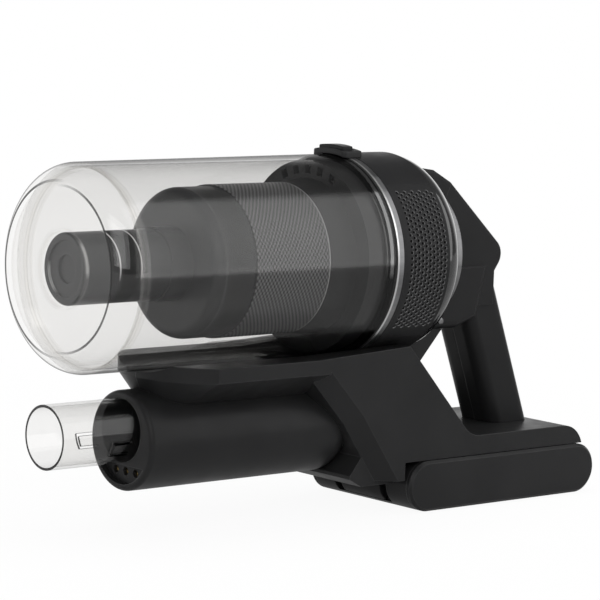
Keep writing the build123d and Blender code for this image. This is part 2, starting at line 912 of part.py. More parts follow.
def duct_line():
    """The run of the duct: along the tube, a quarter turn, and up to the bin's port."""
    Line((tube_rear + seat_gap, tube_height), (duct_rise_x - duct_bend, tube_height))
    RadiusArc((duct_rise_x - duct_bend, tube_height), (duct_rise_x, tube_height + duct_bend), -duct_bend)
    Line((duct_rise_x, tube_height + duct_bend), (duct_rise_x, duct_top))


def contact_recess(gap):
    """The D-shaped outline under the tube, drawn in by a gap."""
    with BuildSketch(cross_plane(0, housing_height)) as outline:
        Circle(recess_radius - gap)
        with Locations((0, recess_top - gap - housing_height)):
            Rectangle(
                4 * housing_radius,
                2 * housing_radius,
                align=(Align.CENTER, Align.MIN),
                mode=Mode.SUBTRACT,
            )
    return outline.sketch_local


with BuildPart() as duct_room:
    with BuildLine(Plane.XZ) as room_path:
        duct_line()
    with BuildSketch(cross_plane(tube_rear + seat_gap, tube_height)):
        Circle(seat_radius + seat_gap)
    sweep(path=room_path.wires()[0])
    with BuildSketch(Plane.XY.offset(duct_top)):
        with Locations((duct_rise_x, 0)):
            Circle(seat_radius + seat_gap)
    extrude(amount=bin_radius)

with BuildPart() as nozzle_housing:
    with BuildSketch(Plane.XZ):
        with BuildLine():
            Polyline(
                (housing_rear, housing_height),
                (housing_front, housing_height),
                (housing_front, housing_height + housing_radius),
                (housing_rear - housing_nose, housing_height + housing_radius),
            )
            TangentArc(
                (housing_rear - housing_nose, housing_height + housing_radius),
                (housing_rear, housing_height + housing_radius - housing_nose),
                tangent=(1, 0),
            )
            Line(
                (housing_rear, housing_height + housing_radius - housing_nose),
                (housing_rear, housing_height),
            )
        make_face()
    revolve(axis=housing_axis)
    fillet(nozzle_housing.edges().filter_by(GeomType.CIRCLE).sort_by(Axis.X)[0], housing_rounding)
    with BuildSketch(cross_plane(bulkhead_rear, housing_height)):
        Circle(housing_radius - housing_wall)
    extrude(amount=housing_rear - housing_nose - bulkhead_rear, mode=Mode.SUBTRACT)
    with BuildSketch(cross_plane(housing_front, tube_height)):
        Circle(seat_radius + seat_gap)
    extrude(amount=tube_rear - housing_front, mode=Mode.SUBTRACT)
    with BuildSketch(cross_plane(housing_front, housing_height)):
        add(contact_recess(0))
    extrude(amount=bulkhead_rear - housing_front, mode=Mode.SUBTRACT)
    add(duct_room.part, mode=Mode.SUBTRACT)
save(nozzle_housing, "nozzle_housing")

# Contact block with three six-sided sockets and the spring sleeves inside them.
block_front = housing_front + terminal_recess
socket_height = (recess_top + housing_height - recess_radius) / 2 + socket_size / 2
with BuildPart() as contact_block:
    with BuildSketch(cross_plane(block_front, housing_height)):
        add(contact_recess(seat_gap))
    extrude(amount=terminal_depth)
    with BuildSketch(cross_plane(block_front, socket_height)):
        with GridLocations(socket_pitch, 0, 3, 1):
            RegularPolygon(socket_size, 6)
    extrude(amount=terminal_depth - housing_wall, mode=Mode.SUBTRACT)
save(contact_block, "contact_block")

with BuildPart() as contact_sleeves:
    with BuildSketch(cross_plane(block_front + housing_wall, socket_height)):
        with GridLocations(socket_pitch, 0, 3, 1):
            RegularPolygon(socket_size - seat_gap, 6)
            RegularPolygon(socket_size / 2, 6, mode=Mode.SUBTRACT)
    extrude(amount=terminal_depth - 2 * housing_wall)
save(contact_sleeves, "contact_sleeves")

# Clear inlet tube with a sprung catch tongue low on each side.
tube_axis = Axis((0, 0, tube_height), (1, 0, 0))
with BuildPart() as inlet_tube:
    with BuildSketch(Plane.XZ):
        with BuildLine():
            Polyline(
                (tube_front, tube_height + tube_bore),
                (tube_front, tube_height + tube_radius),
                (housing_front - move_gap, tube_height + tube_radius),
                (housing_front - move_gap, tube_height + seat_radius),
                (tube_rear, tube_height + seat_radius),
                (tube_rear, tube_height + tube_bore),
                close=True,
            )
        make_face()
    revolve(axis=tube_axis)
    for catch_angle in (180 + catch_droop, -catch_droop):
        catch_turn = radians(catch_angle)
        catch_out = Vector(0, cos(catch_turn), sin(catch_turn))
        catch_place = Vector(housing_front - catch_inset, 0, tube_height)
        catch_origin = catch_place + catch_out * (tube_radius + tube_wall)
        with BuildSketch(Plane(catch_origin, x_dir=(1, 0, 0), z_dir=-catch_out)):
            Rectangle(catch_length, catch_width)
            with Locations((catch_slot, 0)):
                Rectangle(catch_length, catch_width - 2 * catch_slot, mode=Mode.SUBTRACT)
        extrude(amount=4 * tube_wall, mode=Mode.SUBTRACT)
save(inlet_tube, "inlet_tube")

with BuildPart() as tube_seal:
    with BuildSketch(cross_plane(bulkhead_rear, tube_height)):
        Circle(seat_radius + tube_wall)
        Circle(seat_radius + seat_gap, mode=Mode.SUBTRACT)
    extrude(amount=housing_wall)
save(tube_seal, "tube_seal")

# Elbow from the tube up to the bin's port.
with BuildPart() as duct_elbow:
    with BuildLine(Plane.XZ) as duct_path:
        duct_line()
    with BuildSketch(cross_plane(tube_rear + seat_gap, tube_height)):
        Circle(seat_radius)
        Circle(tube_bore, mode=Mode.SUBTRACT)
    sweep(path=duct_path.wires()[0])
save(duct_elbow, "duct_elbow")

# Room that the drum, the bell and the rings take up in the pieces around them.
with BuildPart() as drum_room:
    with BuildSketch(Plane.XZ):
        with BuildLine():
            Polyline(
                *axial(
                    [
                        (boss_rear + seat_gap, 0),
                        (ring_front - move_gap, 0),
                        (ring_front - move_gap, drum_radius + seat_gap),
                        (drum_rear, drum_radius + seat_gap),
                    ]
                )
            )
            TangentArc(
                *axial([(drum_rear, drum_radius + seat_gap)]),
                *axial([(bell_rear + seat_gap, bell_rear_radius + seat_gap)]),
                tangent=(1, 0),
            )
            Polyline(
                *axial(
                    [
                        (bell_rear + seat_gap, bell_rear_radius + seat_gap),
                        (satin_front, satin_ring_radius + seat_gap),
                        (boss_rear + seat_gap, satin_ring_radius + seat_gap),
                        (boss_rear + seat_gap, 0),
                    ]
                )
            )
        make_face()
    revolve(axis=bin_axis)


def leg_rear_x(height):
    """Station of the leg's straight rear edge at a height."""
    share = (height - leg_top_rear[1]) / (leg_rear_foot[1] - leg_top_rear[1])
    return leg_top_rear[0] + share * (leg_rear_foot[0] - leg_top_rear[0])


def neck_outline(half_width, shoulder, tip):
    """Plan of the neck: straight sides and a rounded bow."""
    neck_rear = leg_shoulder[0] + leg_bevel
    with BuildSketch() as outline:
        with BuildLine():
            Polyline(
                (shoulder, -half_width),
                (neck_rear, -half_width),
                (neck_rear, half_width),
                (shoulder, half_width),
            )
            ThreePointArc((shoulder, half_width), (tip, 0), (shoulder, -half_width))
        make_face()
    return outline.sketch_local


def housing_crown(reach):
    """Height of the hollow's floor above the round housing at a distance from the middle."""
    return housing_height + sqrt(housing_radius**2 - reach**2) + shell_wall


def trough_floor(reach):
    """Height of the hollow's roof below the bin's trough at a distance from the middle."""
    return axis_height - sqrt(trough_radius**2 - reach**2) - shell_wall


# Side shells: the leg with its bevelled front, the neck under the bin, the chin and the dock plate.
chin_rear = -half_battery - chin_gap
leg_foot = (leg_rear_x(plate_top), plate_top)
leg_bottom = chin_bottom + chin_edge + 2 * move_gap
with BuildPart() as body_whole:
    with BuildSketch(Plane.XZ) as leg_side:
        with BuildLine():
            Polyline(
                (plate_rear, plate_bottom),
                (chin_rear, plate_bottom),
                (chin_rear, leg_bottom),
                (chin_rear - leg_fillet, leg_bottom),
                leg_shin,
                leg_shoulder,
                (leg_shoulder[0], neck_top),
                leg_top_rear,
                leg_foot,
                (plate_rear - plate_round, plate_top),
            )
            TangentArc((plate_rear - plate_round, plate_top), (plate_rear, plate_bottom), tangent=(1, 0))
        make_face()
        fillet(leg_side.vertices().sort_by_distance(leg_foot)[0], leg_fillet)
    extrude(amount=neck_half_width, both=True)
    shin_edges = body_whole.edges().filter_by(
        lambda edge: abs(edge.center().Y) > neck_half_width - seat_gap
        and edge.center().X < chin_rear - leg_fillet
        and edge.center().Z < leg_shoulder[1]
    )
    chamfer(shin_edges, leg_bevel)
    with BuildSketch(Plane.XY.offset(neck_rim)):
        add(neck_outline(neck_half_width, nose_shoulder, nose_tip))
    extrude(amount=neck_top - neck_rim)
    with BuildSketch(Plane.XY.offset(neck_foot)):
        add(neck_outline(neck_foot_half_width, nose_shoulder, nose_foot_tip))
    with BuildSketch(Plane.XY.offset(neck_rim)):
        add(neck_outline(neck_half_width, nose_shoulder, nose_tip))
    loft(ruled=True)
    with BuildSketch(Plane.XZ):
        with BuildLine():
            Polyline(
                (chin_rear, chin_bottom),
                (chin_front + leg_bevel, chin_bottom),
                (chin_front, chin_lip - chin_edge),
                (chin_front, chin_lip),
                (chin_front + leg_bevel, plate_bottom + chin_rise),
                (chin_front + leg_bevel + chin_edge, housing_height),
                (chin_rear, leg_shin[1]),
                close=True,
            )
        make_face()
    extrude(amount=chin_half_width, both=True)
    with BuildSketch(cross_plane(nose_tip - shell_wall, axis_height)):
        Circle(trough_radius)
    extrude(amount=ring_front - nose_tip + shell_wall, mode=Mode.SUBTRACT)
    add(drum_room.part, mode=Mode.SUBTRACT)
    add(duct_room.part, mode=Mode.SUBTRACT)
    with BuildSketch(Plane.XZ):
        with BuildLine():
            Polyline(
                (housing_rear, housing_height),
                (nose_tip, housing_height),
                (nose_tip, housing_height + housing_radius + seat_gap),
                (housing_rear - housing_nose, housing_height + housing_radius + seat_gap),
            )
            TangentArc(
                (housing_rear - housing_nose, housing_height + housing_radius + seat_gap),
                (housing_rear + seat_gap, housing_height + housing_radius - housing_nose),
                tangent=(1, 0),
            )
            Polyline(
                (housing_rear + seat_gap, housing_height + housing_radius - housing_nose),
                (housing_rear + seat_gap, housing_height),
                (housing_rear, housing_height),
            )
        make_face()
    revolve(axis=housing_axis, mode=Mode.SUBTRACT)
    cavity_top = axis_height - drum_radius - 2 * shell_wall
    cavity_low = plate_top + shell_wall
    with BuildSketch(Plane.XZ):
        with BuildLine():
            Polyline(
                (housing_rear + shell_wall, cavity_top),
                (leg_rear_x(cavity_top) - 2 * shell_wall, cavity_top),
                (leg_rear_x(cavity_low) - 2 * shell_wall, cavity_low),
                (housing_rear + shell_wall, cavity_low),
                close=True,
            )
        make_face()
    extrude(amount=neck_half_width - shell_wall, both=True, mode=Mode.SUBTRACT)
    with BuildSketch(Plane.XZ):
        with BuildLine():
            Polyline(
                (housing_rear + shell_wall, chin_bottom + shell_wall),
                (housing_rear + shell_wall, cavity_low + shell_wall),
                (chin_rear - shell_wall, cavity_low + shell_wall),
                (chin_rear - shell_wall, chin_bottom + shell_wall),
                close=True,
            )
        make_face()
    extrude(amount=chin_half_width - shell_wall, both=True, mode=Mode.SUBTRACT)
    with BuildSketch(cross_plane(nose_shoulder + 2 * shell_wall, 0)) as neck_hollow:
        with BuildLine():
            Polyline(
                (shell_wall, housing_crown(shell_wall)),
                (neck_foot_half_width, housing_crown(neck_foot_half_width)),
                (neck_half_width - shell_wall, neck_rim),
                (neck_half_width - shell_wall, neck_top - shell_wall),
                (sqrt(trough_radius**2 - (axis_height - neck_top) ** 2), neck_top - shell_wall),
                (shell_wall, trough_floor(shell_wall)),
                close=True,
            )
        make_face()
        mirror(about=Plane.YZ)
    extrude(amount=duct_rise_x - seat_radius - nose_shoulder - 4 * shell_wall, mode=Mode.SUBTRACT)
    pocket_length = plate_rear - plate_round - chin_rear - 2 * shell_wall
    pocket_middle = (plate_rear - plate_round + chin_rear) / 2
    with BuildSketch(Plane.XY.offset(plate_bottom)):
        with Locations((pocket_middle, 0)):
            Rectangle(pocket_length, 2 * (neck_half_width - 2 * shell_wall))
    extrude(amount=shell_wall, mode=Mode.SUBTRACT)
    with BuildSketch(Plane.XY.offset(plate_bottom + shell_wall)):
        with Locations((pocket_middle, 0)):
            Rectangle(pocket_length - 4 * shell_wall, 2 * (neck_half_width - 4 * shell_wall))
    extrude(amount=plate_thickness - 2 * shell_wall, mode=Mode.SUBTRACT)

for keep_side, body_name in ((Keep.TOP, "body_left"), (Keep.BOTTOM, "body_right")):
    with BuildPart() as body_half:
        add(body_whole.part)
        split(bisect_by=Plane.XZ, keep=keep_side)
    save(body_half, body_name)

# Web that ties the leg to the underside of the handle.
with BuildPart() as leg_web:
    with BuildSketch(Plane.XZ):
        with BuildLine():
            Polyline(
                (leg_rear_x(bin_seat), bin_seat),
                (leg_rear_x(web_foot), web_foot),
                web_top,
                (bulge_front, web_top[1]),
                close=True,
            )
        make_face()
    extrude(amount=web_half_width, both=True)
    add(drum_room.part, mode=Mode.SUBTRACT)
save(leg_web, "leg_web")

# Sloped control face of the handle: its own plane, with local x along +Y and local y up the slope.
slope_length = hypot(slope_end[0] - slope_top[0], slope_end[1] - slope_top[1])
slope_run = Vector(slope_end[0] - slope_top[0], 0, slope_end[1] - slope_top[1]) / slope_length
slope_normal = Vector(-slope_run.Z, 0, slope_run.X)
slope_middle = Vector((slope_top[0] + slope_end[0]) / 2, 0, (slope_top[1] + slope_end[1]) / 2)


def slope_plane(rise):
    """Plane along the control face, raised by a distance along its normal."""
    return Plane(slope_middle + slope_normal * rise, x_dir=(0, 1, 0), z_dir=slope_normal)


def slope_point(place, drop):
    """Point on the XZ plane at a place up the slope and a drop below it."""
    point = slope_middle - slope_run * place - slope_normal * drop
    return (point.X, point.Z)


grip_direction = Vector(-grip_lean, 0, 1)


def grip_section(inset):
    """Cross-section of the grip: a round front and softly cornered rear, drawn in by a wall."""
    half_width = grip_half_width - inset
    rear = grip_depth - grip_half_width - inset
    corner = grip_corner - inset
    with BuildSketch() as section:
        Circle(half_width)
        with Locations((rear - corner - half_width / 2, 0)):
            RectangleRounded(2 * corner + half_width, 2 * half_width, corner)
    return section.sketch_local


def pad_band(gap):
    """Outline of the soft pad round the grip's front, grown by a gap."""
    reach = 2 * grip_half_width
    half_turn = radians(pad_half_angle)
    with BuildSketch() as band:
        Circle(grip_half_width)
        Circle(grip_half_width - pad_thickness - gap, mode=Mode.SUBTRACT)
        with BuildLine():
            Polyline(
                (gap, 0),
                (gap - reach * cos(half_turn), reach * sin(half_turn)),
                (-2 * reach, 0),
                (gap - reach * cos(half_turn), -reach * sin(half_turn)),
                close=True,
            )
        make_face(mode=Mode.INTERSECT)
    return band.sketch_local


def grip_plane(height):
    """Level plane at a height with its origin in the middle of the grip's round front."""
    return Plane((grip_foot_x + grip_lean * (plate_top - height), 0, height))


# Handle: the head behind the drum, the bulge below it and the leaning grip, all hollow.
cavity_front = boss_rear + seat_gap + grip_wall
cavity_reach = slope_length / 2 - 2 * grip_wall
hole_depth = roof_thickness + panel_corner
half_pin = neck_bulge_half_width + pin_radius / 3
screw_spots = [(place, neck_bulge_half_width) for place in screw_places] + [(nose_screw, head_half_width)]
button_spots = [
    ("power_button", (0, power_place), power_radius),
    ("plus_button", (side_button_spread, side_button_place), side_button_radius),
    ("minus_button", (-side_button_spread, side_button_place), side_button_radius),
]
with BuildPart() as head_block:
    with BuildSketch(Plane.XZ):
        with BuildLine():
            Polyline((crown_tip[0], head_floor), crown_tip, crown_knee, slope_top, slope_end)
            ThreePointArc(slope_end, nose_point, nose_low)
            Polyline(nose_low, waist, (waist[0], head_floor), (crown_tip[0], head_floor))
        make_face()
    extrude(amount=head_half_width, both=True)
    fillet(
        head_block.edges().filter_by(
            lambda edge: abs(edge.center().Y) > head_half_width - seat_gap
            and edge.center().Z > waist[1]
            and edge.center().X > crown_tip[0] + seat_gap
        ),
        head_rounding,
    )

with BuildPart() as bulge_block:
    with BuildSketch(Plane.XZ):
        with BuildLine():
            Polyline(
                (bulge_front, web_top[1]),
                (bulge_flat_end, web_top[1]),
                bulge_rear,
                bulge_crease,
                (bulge_front, bulge_crease[1]),
                close=True,
            )
        make_face()
    extrude(amount=neck_bulge_half_width, both=True)
    fillet(
        bulge_block.edges().filter_by(
            lambda edge: abs(edge.center().Y) > neck_bulge_half_width - seat_gap
            and edge.center().X > bulge_front + seat_gap
            and edge.center().Z < bulge_crease[1] - seat_gap
        ),
        bulge_rounding,
    )

with BuildPart() as handle_whole:
    add(head_block.part)
    add(bulge_block.part)
    with BuildSketch(grip_plane(plate_top)):
        add(grip_section(0))
    extrude(amount=grip_top - plate_top, dir=grip_direction)
    add(drum_room.part, mode=Mode.SUBTRACT)
    with BuildSketch(grip_plane(plate_top)):
        add(grip_section(grip_wall))
    extrude(amount=grip_hollow_top - plate_top, dir=grip_direction, mode=Mode.SUBTRACT)
    with BuildSketch(Plane.XZ):
        with BuildLine():
            Polyline(
                (cavity_front, head_hollow_low),
                (cavity_front, head_hollow_high),
                slope_point(cavity_reach, roof_thickness),
                slope_point(-cavity_reach, roof_thickness),
                (slope_point(-cavity_reach, roof_thickness)[0], head_hollow_low),
                close=True,
            )
        make_face()
    extrude(amount=head_half_width - grip_wall, both=True, mode=Mode.SUBTRACT)
    with BuildSketch(slope_plane(0)):
        RectangleRounded(panel_width + 2 * seat_gap, panel_length + 2 * seat_gap, panel_corner)
    extrude(amount=-panel_thickness, mode=Mode.SUBTRACT)
    with BuildSketch(slope_plane(0)):
        for button_name, spot, radius in button_spots:
            with Locations(spot):
                Circle(radius + move_gap)
    extrude(amount=-hole_depth, mode=Mode.SUBTRACT)
    with BuildSketch(grip_plane(pad_low - seat_gap)):
        add(pad_band(seat_gap))
    extrude(amount=pad_high - pad_low + 2 * seat_gap, dir=grip_direction, mode=Mode.SUBTRACT)
    with BuildSketch(Plane.XZ):
        with Locations(pin_place):
            Circle(pin_radius + seat_gap)
    extrude(amount=2 * half_pin, both=True, mode=Mode.SUBTRACT)
    for place, face in screw_spots:
        with BuildSketch(Plane.XZ.offset(-face - screw_sink)):
            with Locations(place):
                Circle(screw_head_radius + seat_gap)
        extrude(amount=2 * screw_sink + screw_head, mode=Mode.SUBTRACT)
        with BuildSketch(Plane.XZ.offset(-face)):
            with Locations(place):
                Circle(screw_radius + seat_gap)
        extrude(amount=face + screw_reach + seat_gap, mode=Mode.SUBTRACT)

# The crown is the cap ahead of the seam at the top of the slope; the rest is two halves.
seam_turn = radians(seam_lean)
seam_plane = Plane(
    (slope_top[0], 0, slope_top[1]), x_dir=(0, 1, 0), z_dir=(cos(seam_turn), 0, -sin(seam_turn))
)
with BuildPart() as handle_crown:
    add(handle_whole.part)
    split(bisect_by=seam_plane, keep=Keep.BOTTOM)
save(handle_crown, "handle_crown")

for keep_side, handle_name in ((Keep.TOP, "handle_left"), (Keep.BOTTOM, "handle_right")):
    with BuildPart() as handle_half:
        add(handle_whole.part)
        split(bisect_by=seam_plane, keep=Keep.TOP)
        split(bisect_by=Plane.XZ, keep=keep_side)
    save(handle_half, handle_name)

with BuildPart() as grip_pad:
    with BuildSketch(grip_plane(pad_low)):
        add(pad_band(0))
    extrude(amount=pad_high - pad_low, dir=grip_direction)
save(grip_pad, "grip_pad")

with BuildPart() as handle_pin:
    with BuildSketch(Plane.XZ):
        with Locations(pin_place):
            Circle(pin_radius)
    extrude(amount=half_pin, both=True)
save(handle_pin, "handle_pin")

with BuildPart() as handle_screws:
    for place, face in screw_spots:
        with BuildSketch(Plane.XZ.offset(screw_sink - face)):
            with Locations(place):
                Circle(screw_head_radius)
        extrude(amount=screw_head)
        with BuildSketch(Plane.XZ.offset(screw_sink - face)):
            with Locations(place):
                Circle(screw_radius)
        extrude(amount=face - screw_sink + screw_reach)
        with BuildSketch(Plane.XZ.offset(screw_sink - face)):
            with Locations(place):
                RegularPolygon(screw_radius, 6)
        extrude(amount=screw_head / 2, mode=Mode.SUBTRACT)
save(handle_screws, "handle_screws")

# Control panel with its display, three buttons and the board behind it.
with BuildPart() as control_panel:
    with BuildSketch(slope_plane(0)):
        RectangleRounded(panel_width, panel_length, panel_corner)
        for button_name, spot, radius in button_spots:
            with Locations(spot):
                Circle(radius + move_gap, mode=Mode.SUBTRACT)
    extrude(amount=-panel_thickness)
    with BuildSketch(slope_plane(0)):
        with Locations((0, lens_place)):
            Rectangle(lens_width + 2 * seat_gap, lens_length + 2 * seat_gap)
    extrude(amount=-lens_thickness, mode=Mode.SUBTRACT)
save(control_panel, "control_panel")

with BuildPart() as display_lens:
    with BuildSketch(slope_plane(0)):
        with Locations((0, lens_place)):
            Rectangle(lens_width, lens_length)
    extrude(amount=-lens_thickness)
save(display_lens, "display_lens")

for button_name, spot, radius in button_spots:
    with BuildPart() as control_button:
        with BuildSketch(slope_plane(button_proud)):
            with Locations(spot):
                Circle(radius)
        extrude(amount=-button_proud - button_stem)
        chamfer(control_button.edges().filter_by(GeomType.CIRCLE).sort_by(Axis.Z)[-1], button_proud / 2)
    save(control_button, button_name)

with BuildPart() as control_board:
    with BuildSketch(slope_plane(-board_drop)):
        Rectangle(2 * (head_half_width - grip_wall - seat_gap), 2 * (cavity_reach - panel_corner))
    extrude(amount=-board_thickness)
save(control_board, "control_board")

# Rails under the dock plate, which the battery slides onto, and the plug between them.
rail_bottom = plate_bottom - rail_drop
rail_rear = rail_front + rail_length
with BuildPart() as battery_rails:
    with BuildSketch(Plane.XY.offset(plate_bottom)):
        with Locations((pocket_middle, 0)):
            Rectangle(pocket_length - 2 * seat_gap, 2 * (neck_half_width - 2 * shell_wall - seat_gap))
    extrude(amount=shell_wall)
    with BuildSketch(Plane.XY.offset(rail_bottom)):
        with Locations(((rail_front + rail_rear) / 2, 0)):
            with GridLocations(0, 2 * rail_spread, 1, 2):
                Rectangle(rail_length, rail_stem)
    extrude(amount=rail_drop)
    with BuildSketch(Plane.XY.offset(rail_bottom)):
        with Locations(((rail_front + rail_rear) / 2, 0)):
            with GridLocations(0, 2 * rail_spread, 1, 2):
                Rectangle(rail_length, rail_head)
    extrude(amount=rail_head_height)
save(battery_rails, "battery_rails")

terminal_front = rail_front - dock_terminal_length / 2
terminal_rear = terminal_front + dock_terminal_length
with BuildPart() as dock_terminal:
    with BuildSketch(Plane.XY.offset(plate_bottom)):
        with Locations(((terminal_front + terminal_rear) / 2, 0)):
            RectangleRounded(dock_terminal_length, 2 * dock_terminal_half_width, cap_bevel)
    extrude(amount=-dock_terminal_drop)
save(dock_terminal, "dock_terminal")

# Battery: an open sleeve with two end caps.
sleeve_half = battery_width / 2 - battery_cap
cell_middle = battery_wall + cell_gap + cell_diameter / 2
cavity_half = (cell_count - 1) * cell_pitch / 2 + cell_diameter / 2 + 2 * cell_gap
cavity_height = cell_diameter + 2 * cell_gap
slot_reach = 2 * half_battery
release_rear = release_depth - half_battery
with BuildPart() as battery_sleeve:
    with BuildSketch(Plane.XZ):
        with Locations((0, battery_height / 2)):
            SlotOverall(battery_length, battery_height)
        with Locations((0, cell_middle)):
            Rectangle(2 * cavity_half, cavity_height, mode=Mode.SUBTRACT)
    extrude(amount=sleeve_half, both=True)
    with BuildSketch(cross_plane(rail_rear + move_gap, 0)):
        with Locations((-rail_spread, rail_bottom - move_gap), (rail_spread, rail_bottom - move_gap)):
            Rectangle(
                rail_head + 2 * move_gap, rail_head_height + 2 * move_gap, align=(Align.CENTER, Align.MIN)
            )
            Rectangle(rail_stem + 2 * move_gap, battery_height, align=(Align.CENTER, Align.MIN))
    extrude(amount=-slot_reach, mode=Mode.SUBTRACT)
    with BuildSketch(cross_plane(terminal_rear + move_gap, 0)):
        with Locations((0, plate_bottom - dock_terminal_drop - move_gap)):
            Rectangle(
                2 * (dock_terminal_half_width + move_gap), battery_height, align=(Align.CENTER, Align.MIN)
            )
    extrude(amount=-slot_reach, mode=Mode.SUBTRACT)
    with BuildSketch(cross_plane(release_rear + release_travel + move_gap, (release_low + release_high) / 2)):
        Rectangle(2 * (release_half_width + finger_slot), release_high - release_low + 2 * move_gap)
    extrude(amount=-slot_reach, mode=Mode.SUBTRACT)
save(battery_sleeve, "battery_sleeve")

for cap_side, cap_name in ((1, "battery_cap_left"), (-1, "battery_cap_right")):
    with BuildPart() as end_cap:
        with BuildSketch(Plane.XZ.offset(cap_side * sleeve_half)):
            with Locations((0, battery_height / 2)):
                SlotOverall(battery_length, battery_height)
        extrude(amount=cap_side * battery_cap)
        chamfer(end_cap.faces().sort_by(Axis.Y)[0 if cap_side > 0 else -1].edges(), cap_bevel)
    save(end_cap, cap_name)

with BuildPart() as battery_release:
    with BuildSketch(Plane.XZ):
        with Locations((0, battery_height / 2)):
            SlotOverall(battery_length, battery_height)
        with Locations((-half_battery, (release_low + release_high) / 2)):
            Rectangle(
                release_depth,
                release_high - release_low,
                align=(Align.MIN, Align.CENTER),
                mode=Mode.INTERSECT,
            )
    extrude(amount=release_half_width, both=True)
save(battery_release, "battery_release")

# Row of cells between two holders, with the board on the far holder.
with BuildPart() as battery_cells:
    with BuildSketch(Plane.XZ):
        with Locations((0, cell_middle)):
            with GridLocations(cell_pitch, 0, cell_count, 1):
                Circle(cell_diameter / 2)
    extrude(amount=cell_length / 2, both=True)
save(battery_cells, "battery_cells")

holder_outer = cell_length / 2 + holder_web
with BuildPart() as cell_holders:
    for holder_side in (1, -1):
        with BuildSketch(Plane.XZ.offset(holder_side * (holder_outer - holder_thickness))):
            with Locations((0, cell_middle)):
                Rectangle(2 * (cavity_half - seat_gap), cavity_height - 2 * seat_gap)
        extrude(amount=holder_side * holder_thickness)
    with BuildSketch(Plane.XZ):
        with Locations((0, cell_middle)):
            with GridLocations(cell_pitch, 0, cell_count, 1):
                Circle(cell_diameter / 2 + seat_gap)
    extrude(amount=cell_length / 2, both=True, mode=Mode.SUBTRACT)
save(cell_holders, "cell_holders")

with BuildPart() as battery_board:
    with BuildSketch(Plane.XZ.offset(-holder_outer)):
        with Locations((0, cell_middle)):
            Rectangle(2 * cavity_half - cell_pitch, cavity_height - 2 * cell_gap)
    extrude(amount=-board_thickness)
save(battery_board, "battery_board")
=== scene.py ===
import json
import math

import bmesh
import bpy
from mathutils import Matrix, Vector


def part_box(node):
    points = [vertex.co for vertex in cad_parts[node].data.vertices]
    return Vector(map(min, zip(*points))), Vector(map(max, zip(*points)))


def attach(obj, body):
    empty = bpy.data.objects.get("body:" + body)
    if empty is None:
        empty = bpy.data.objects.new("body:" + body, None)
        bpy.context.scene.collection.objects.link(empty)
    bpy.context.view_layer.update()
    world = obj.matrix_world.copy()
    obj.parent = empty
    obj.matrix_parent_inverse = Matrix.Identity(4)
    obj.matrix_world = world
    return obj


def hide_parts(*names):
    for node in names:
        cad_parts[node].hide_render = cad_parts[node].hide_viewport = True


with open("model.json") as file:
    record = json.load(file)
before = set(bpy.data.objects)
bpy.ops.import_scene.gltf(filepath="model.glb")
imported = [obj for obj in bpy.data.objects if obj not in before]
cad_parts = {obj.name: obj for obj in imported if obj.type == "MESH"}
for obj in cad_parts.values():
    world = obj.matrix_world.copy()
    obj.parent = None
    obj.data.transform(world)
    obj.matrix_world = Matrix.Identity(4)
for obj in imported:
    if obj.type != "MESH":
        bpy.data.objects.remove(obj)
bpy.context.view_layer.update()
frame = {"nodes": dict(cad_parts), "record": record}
nodes = frame["nodes"]
scene = bpy.context.scene

# Lengths are in metres. Pairs named FADE or RANGE are where a ramp starts and ends.

# Axes of the bin and of the inlet tube.
AXIS_Z = 0.149
TUBE_Z = 0.0574

# The ring that the lid's edge is rounded about, and how far from it the outer skin begins.
LID_TURN_X = -0.28805
LID_TURN_REACH = 0.04216
LID_SKIN_REACH = 0.015

# Sockets of a colour mix.
MIX_SHARE = 0
MIX_UNDER = 6
MIX_OVER = 7
MIX_RESULT = 2

WHITE = (1, 1, 1, 1)
NOISE_RANGE = (0.35, 0.65)
BAND_CORE = 0.6
BEVEL_SAMPLES = 6

# Moulded plastic, with paler lines along its edges as painted highlights. Noise is (scale, detail).
EDGE_HIGHLIGHT = 2.4
EDGE_HIGHLIGHT_RANGE = (0.9, 0.985)
PLASTIC_CLOUD = (18.0, 4.0)
PLASTIC_GLOSS = (60.0, 5.0)
PLASTIC_GRAIN = (2600.0, 2.0)
GRAIN_DEPTH = 0.0001
COAT_ROUGH = 0.06

# Metal: its lines, and how far its roughness goes below and above the middle.
METAL_LINES = (220.0, 3.0)
METAL_BELOW = 0.06
METAL_ABOVE = 0.08

# Rubber and felt. Bumps are (strength, depth).
RUBBER_CLOUD = 90.0
RUBBER_GLOSS = 300.0
RUBBER_GRAIN = 1800.0
RUBBER_ROUGH = (0.55, 0.75)
RUBBER_SHINE = 0.35
RUBBER_BUMP = (0.25, 0.0001)
FELT_FIBRE = (900.0, 6.0)
FELT_ROUGH = (0.8, 0.98)
FELT_BUMP = (0.6, 0.0003)

# Clear plastic: turns of the wall from face on (0) to edge on (1), limits of its tint, and its mirror skin.
WALL_TURNS = (0.0, 0.4, 0.6, 0.74, 0.84, 0.9, 0.95, 1.0)
LEAST_FACING = 0.04
LEAST_LEFT = 0.3
SMOKE = (1.0, 0.998, 0.994)
SKIN_COLOUR = (0.95, 0.95, 0.95, 1)
SKIN_CLOUD = 30.0
SKIN_POWER = 5.0
SKIN_EDGE_RANGE = (0.75, 0.9)
CUT_RANGE = (0.2, 0.5)
BIN_CUT_REACH = 0.0545
# Painted shade for dark rings in clear plastic: how dark they get, and where across the axis they fade in.
PAINTED_LINE_DARK = 0.9
PAINTED_LINE_FADE = (-0.006, 0.024)
GLINT_FADE = (-0.008, -0.004)

# Woven screen: lengthwise pitch, wires round it, and a pale line on its rear rim that is a painted highlight.
WEAVE_PITCH = 0.0026
WEAVE_TURNS = 72.0
WEAVE_RANGE = (-0.5, 0.5)
WEAVE_METALLIC = 0.35
WEAVE_ROUGH = (0.5, 0.36)
WEAVE_BUMP = (0.5, 0.0002)
WEAVE_RIM_HIGHLIGHT_HALF = 0.0008
WEAVE_RIM_HIGHLIGHT_LEVEL = 0.3
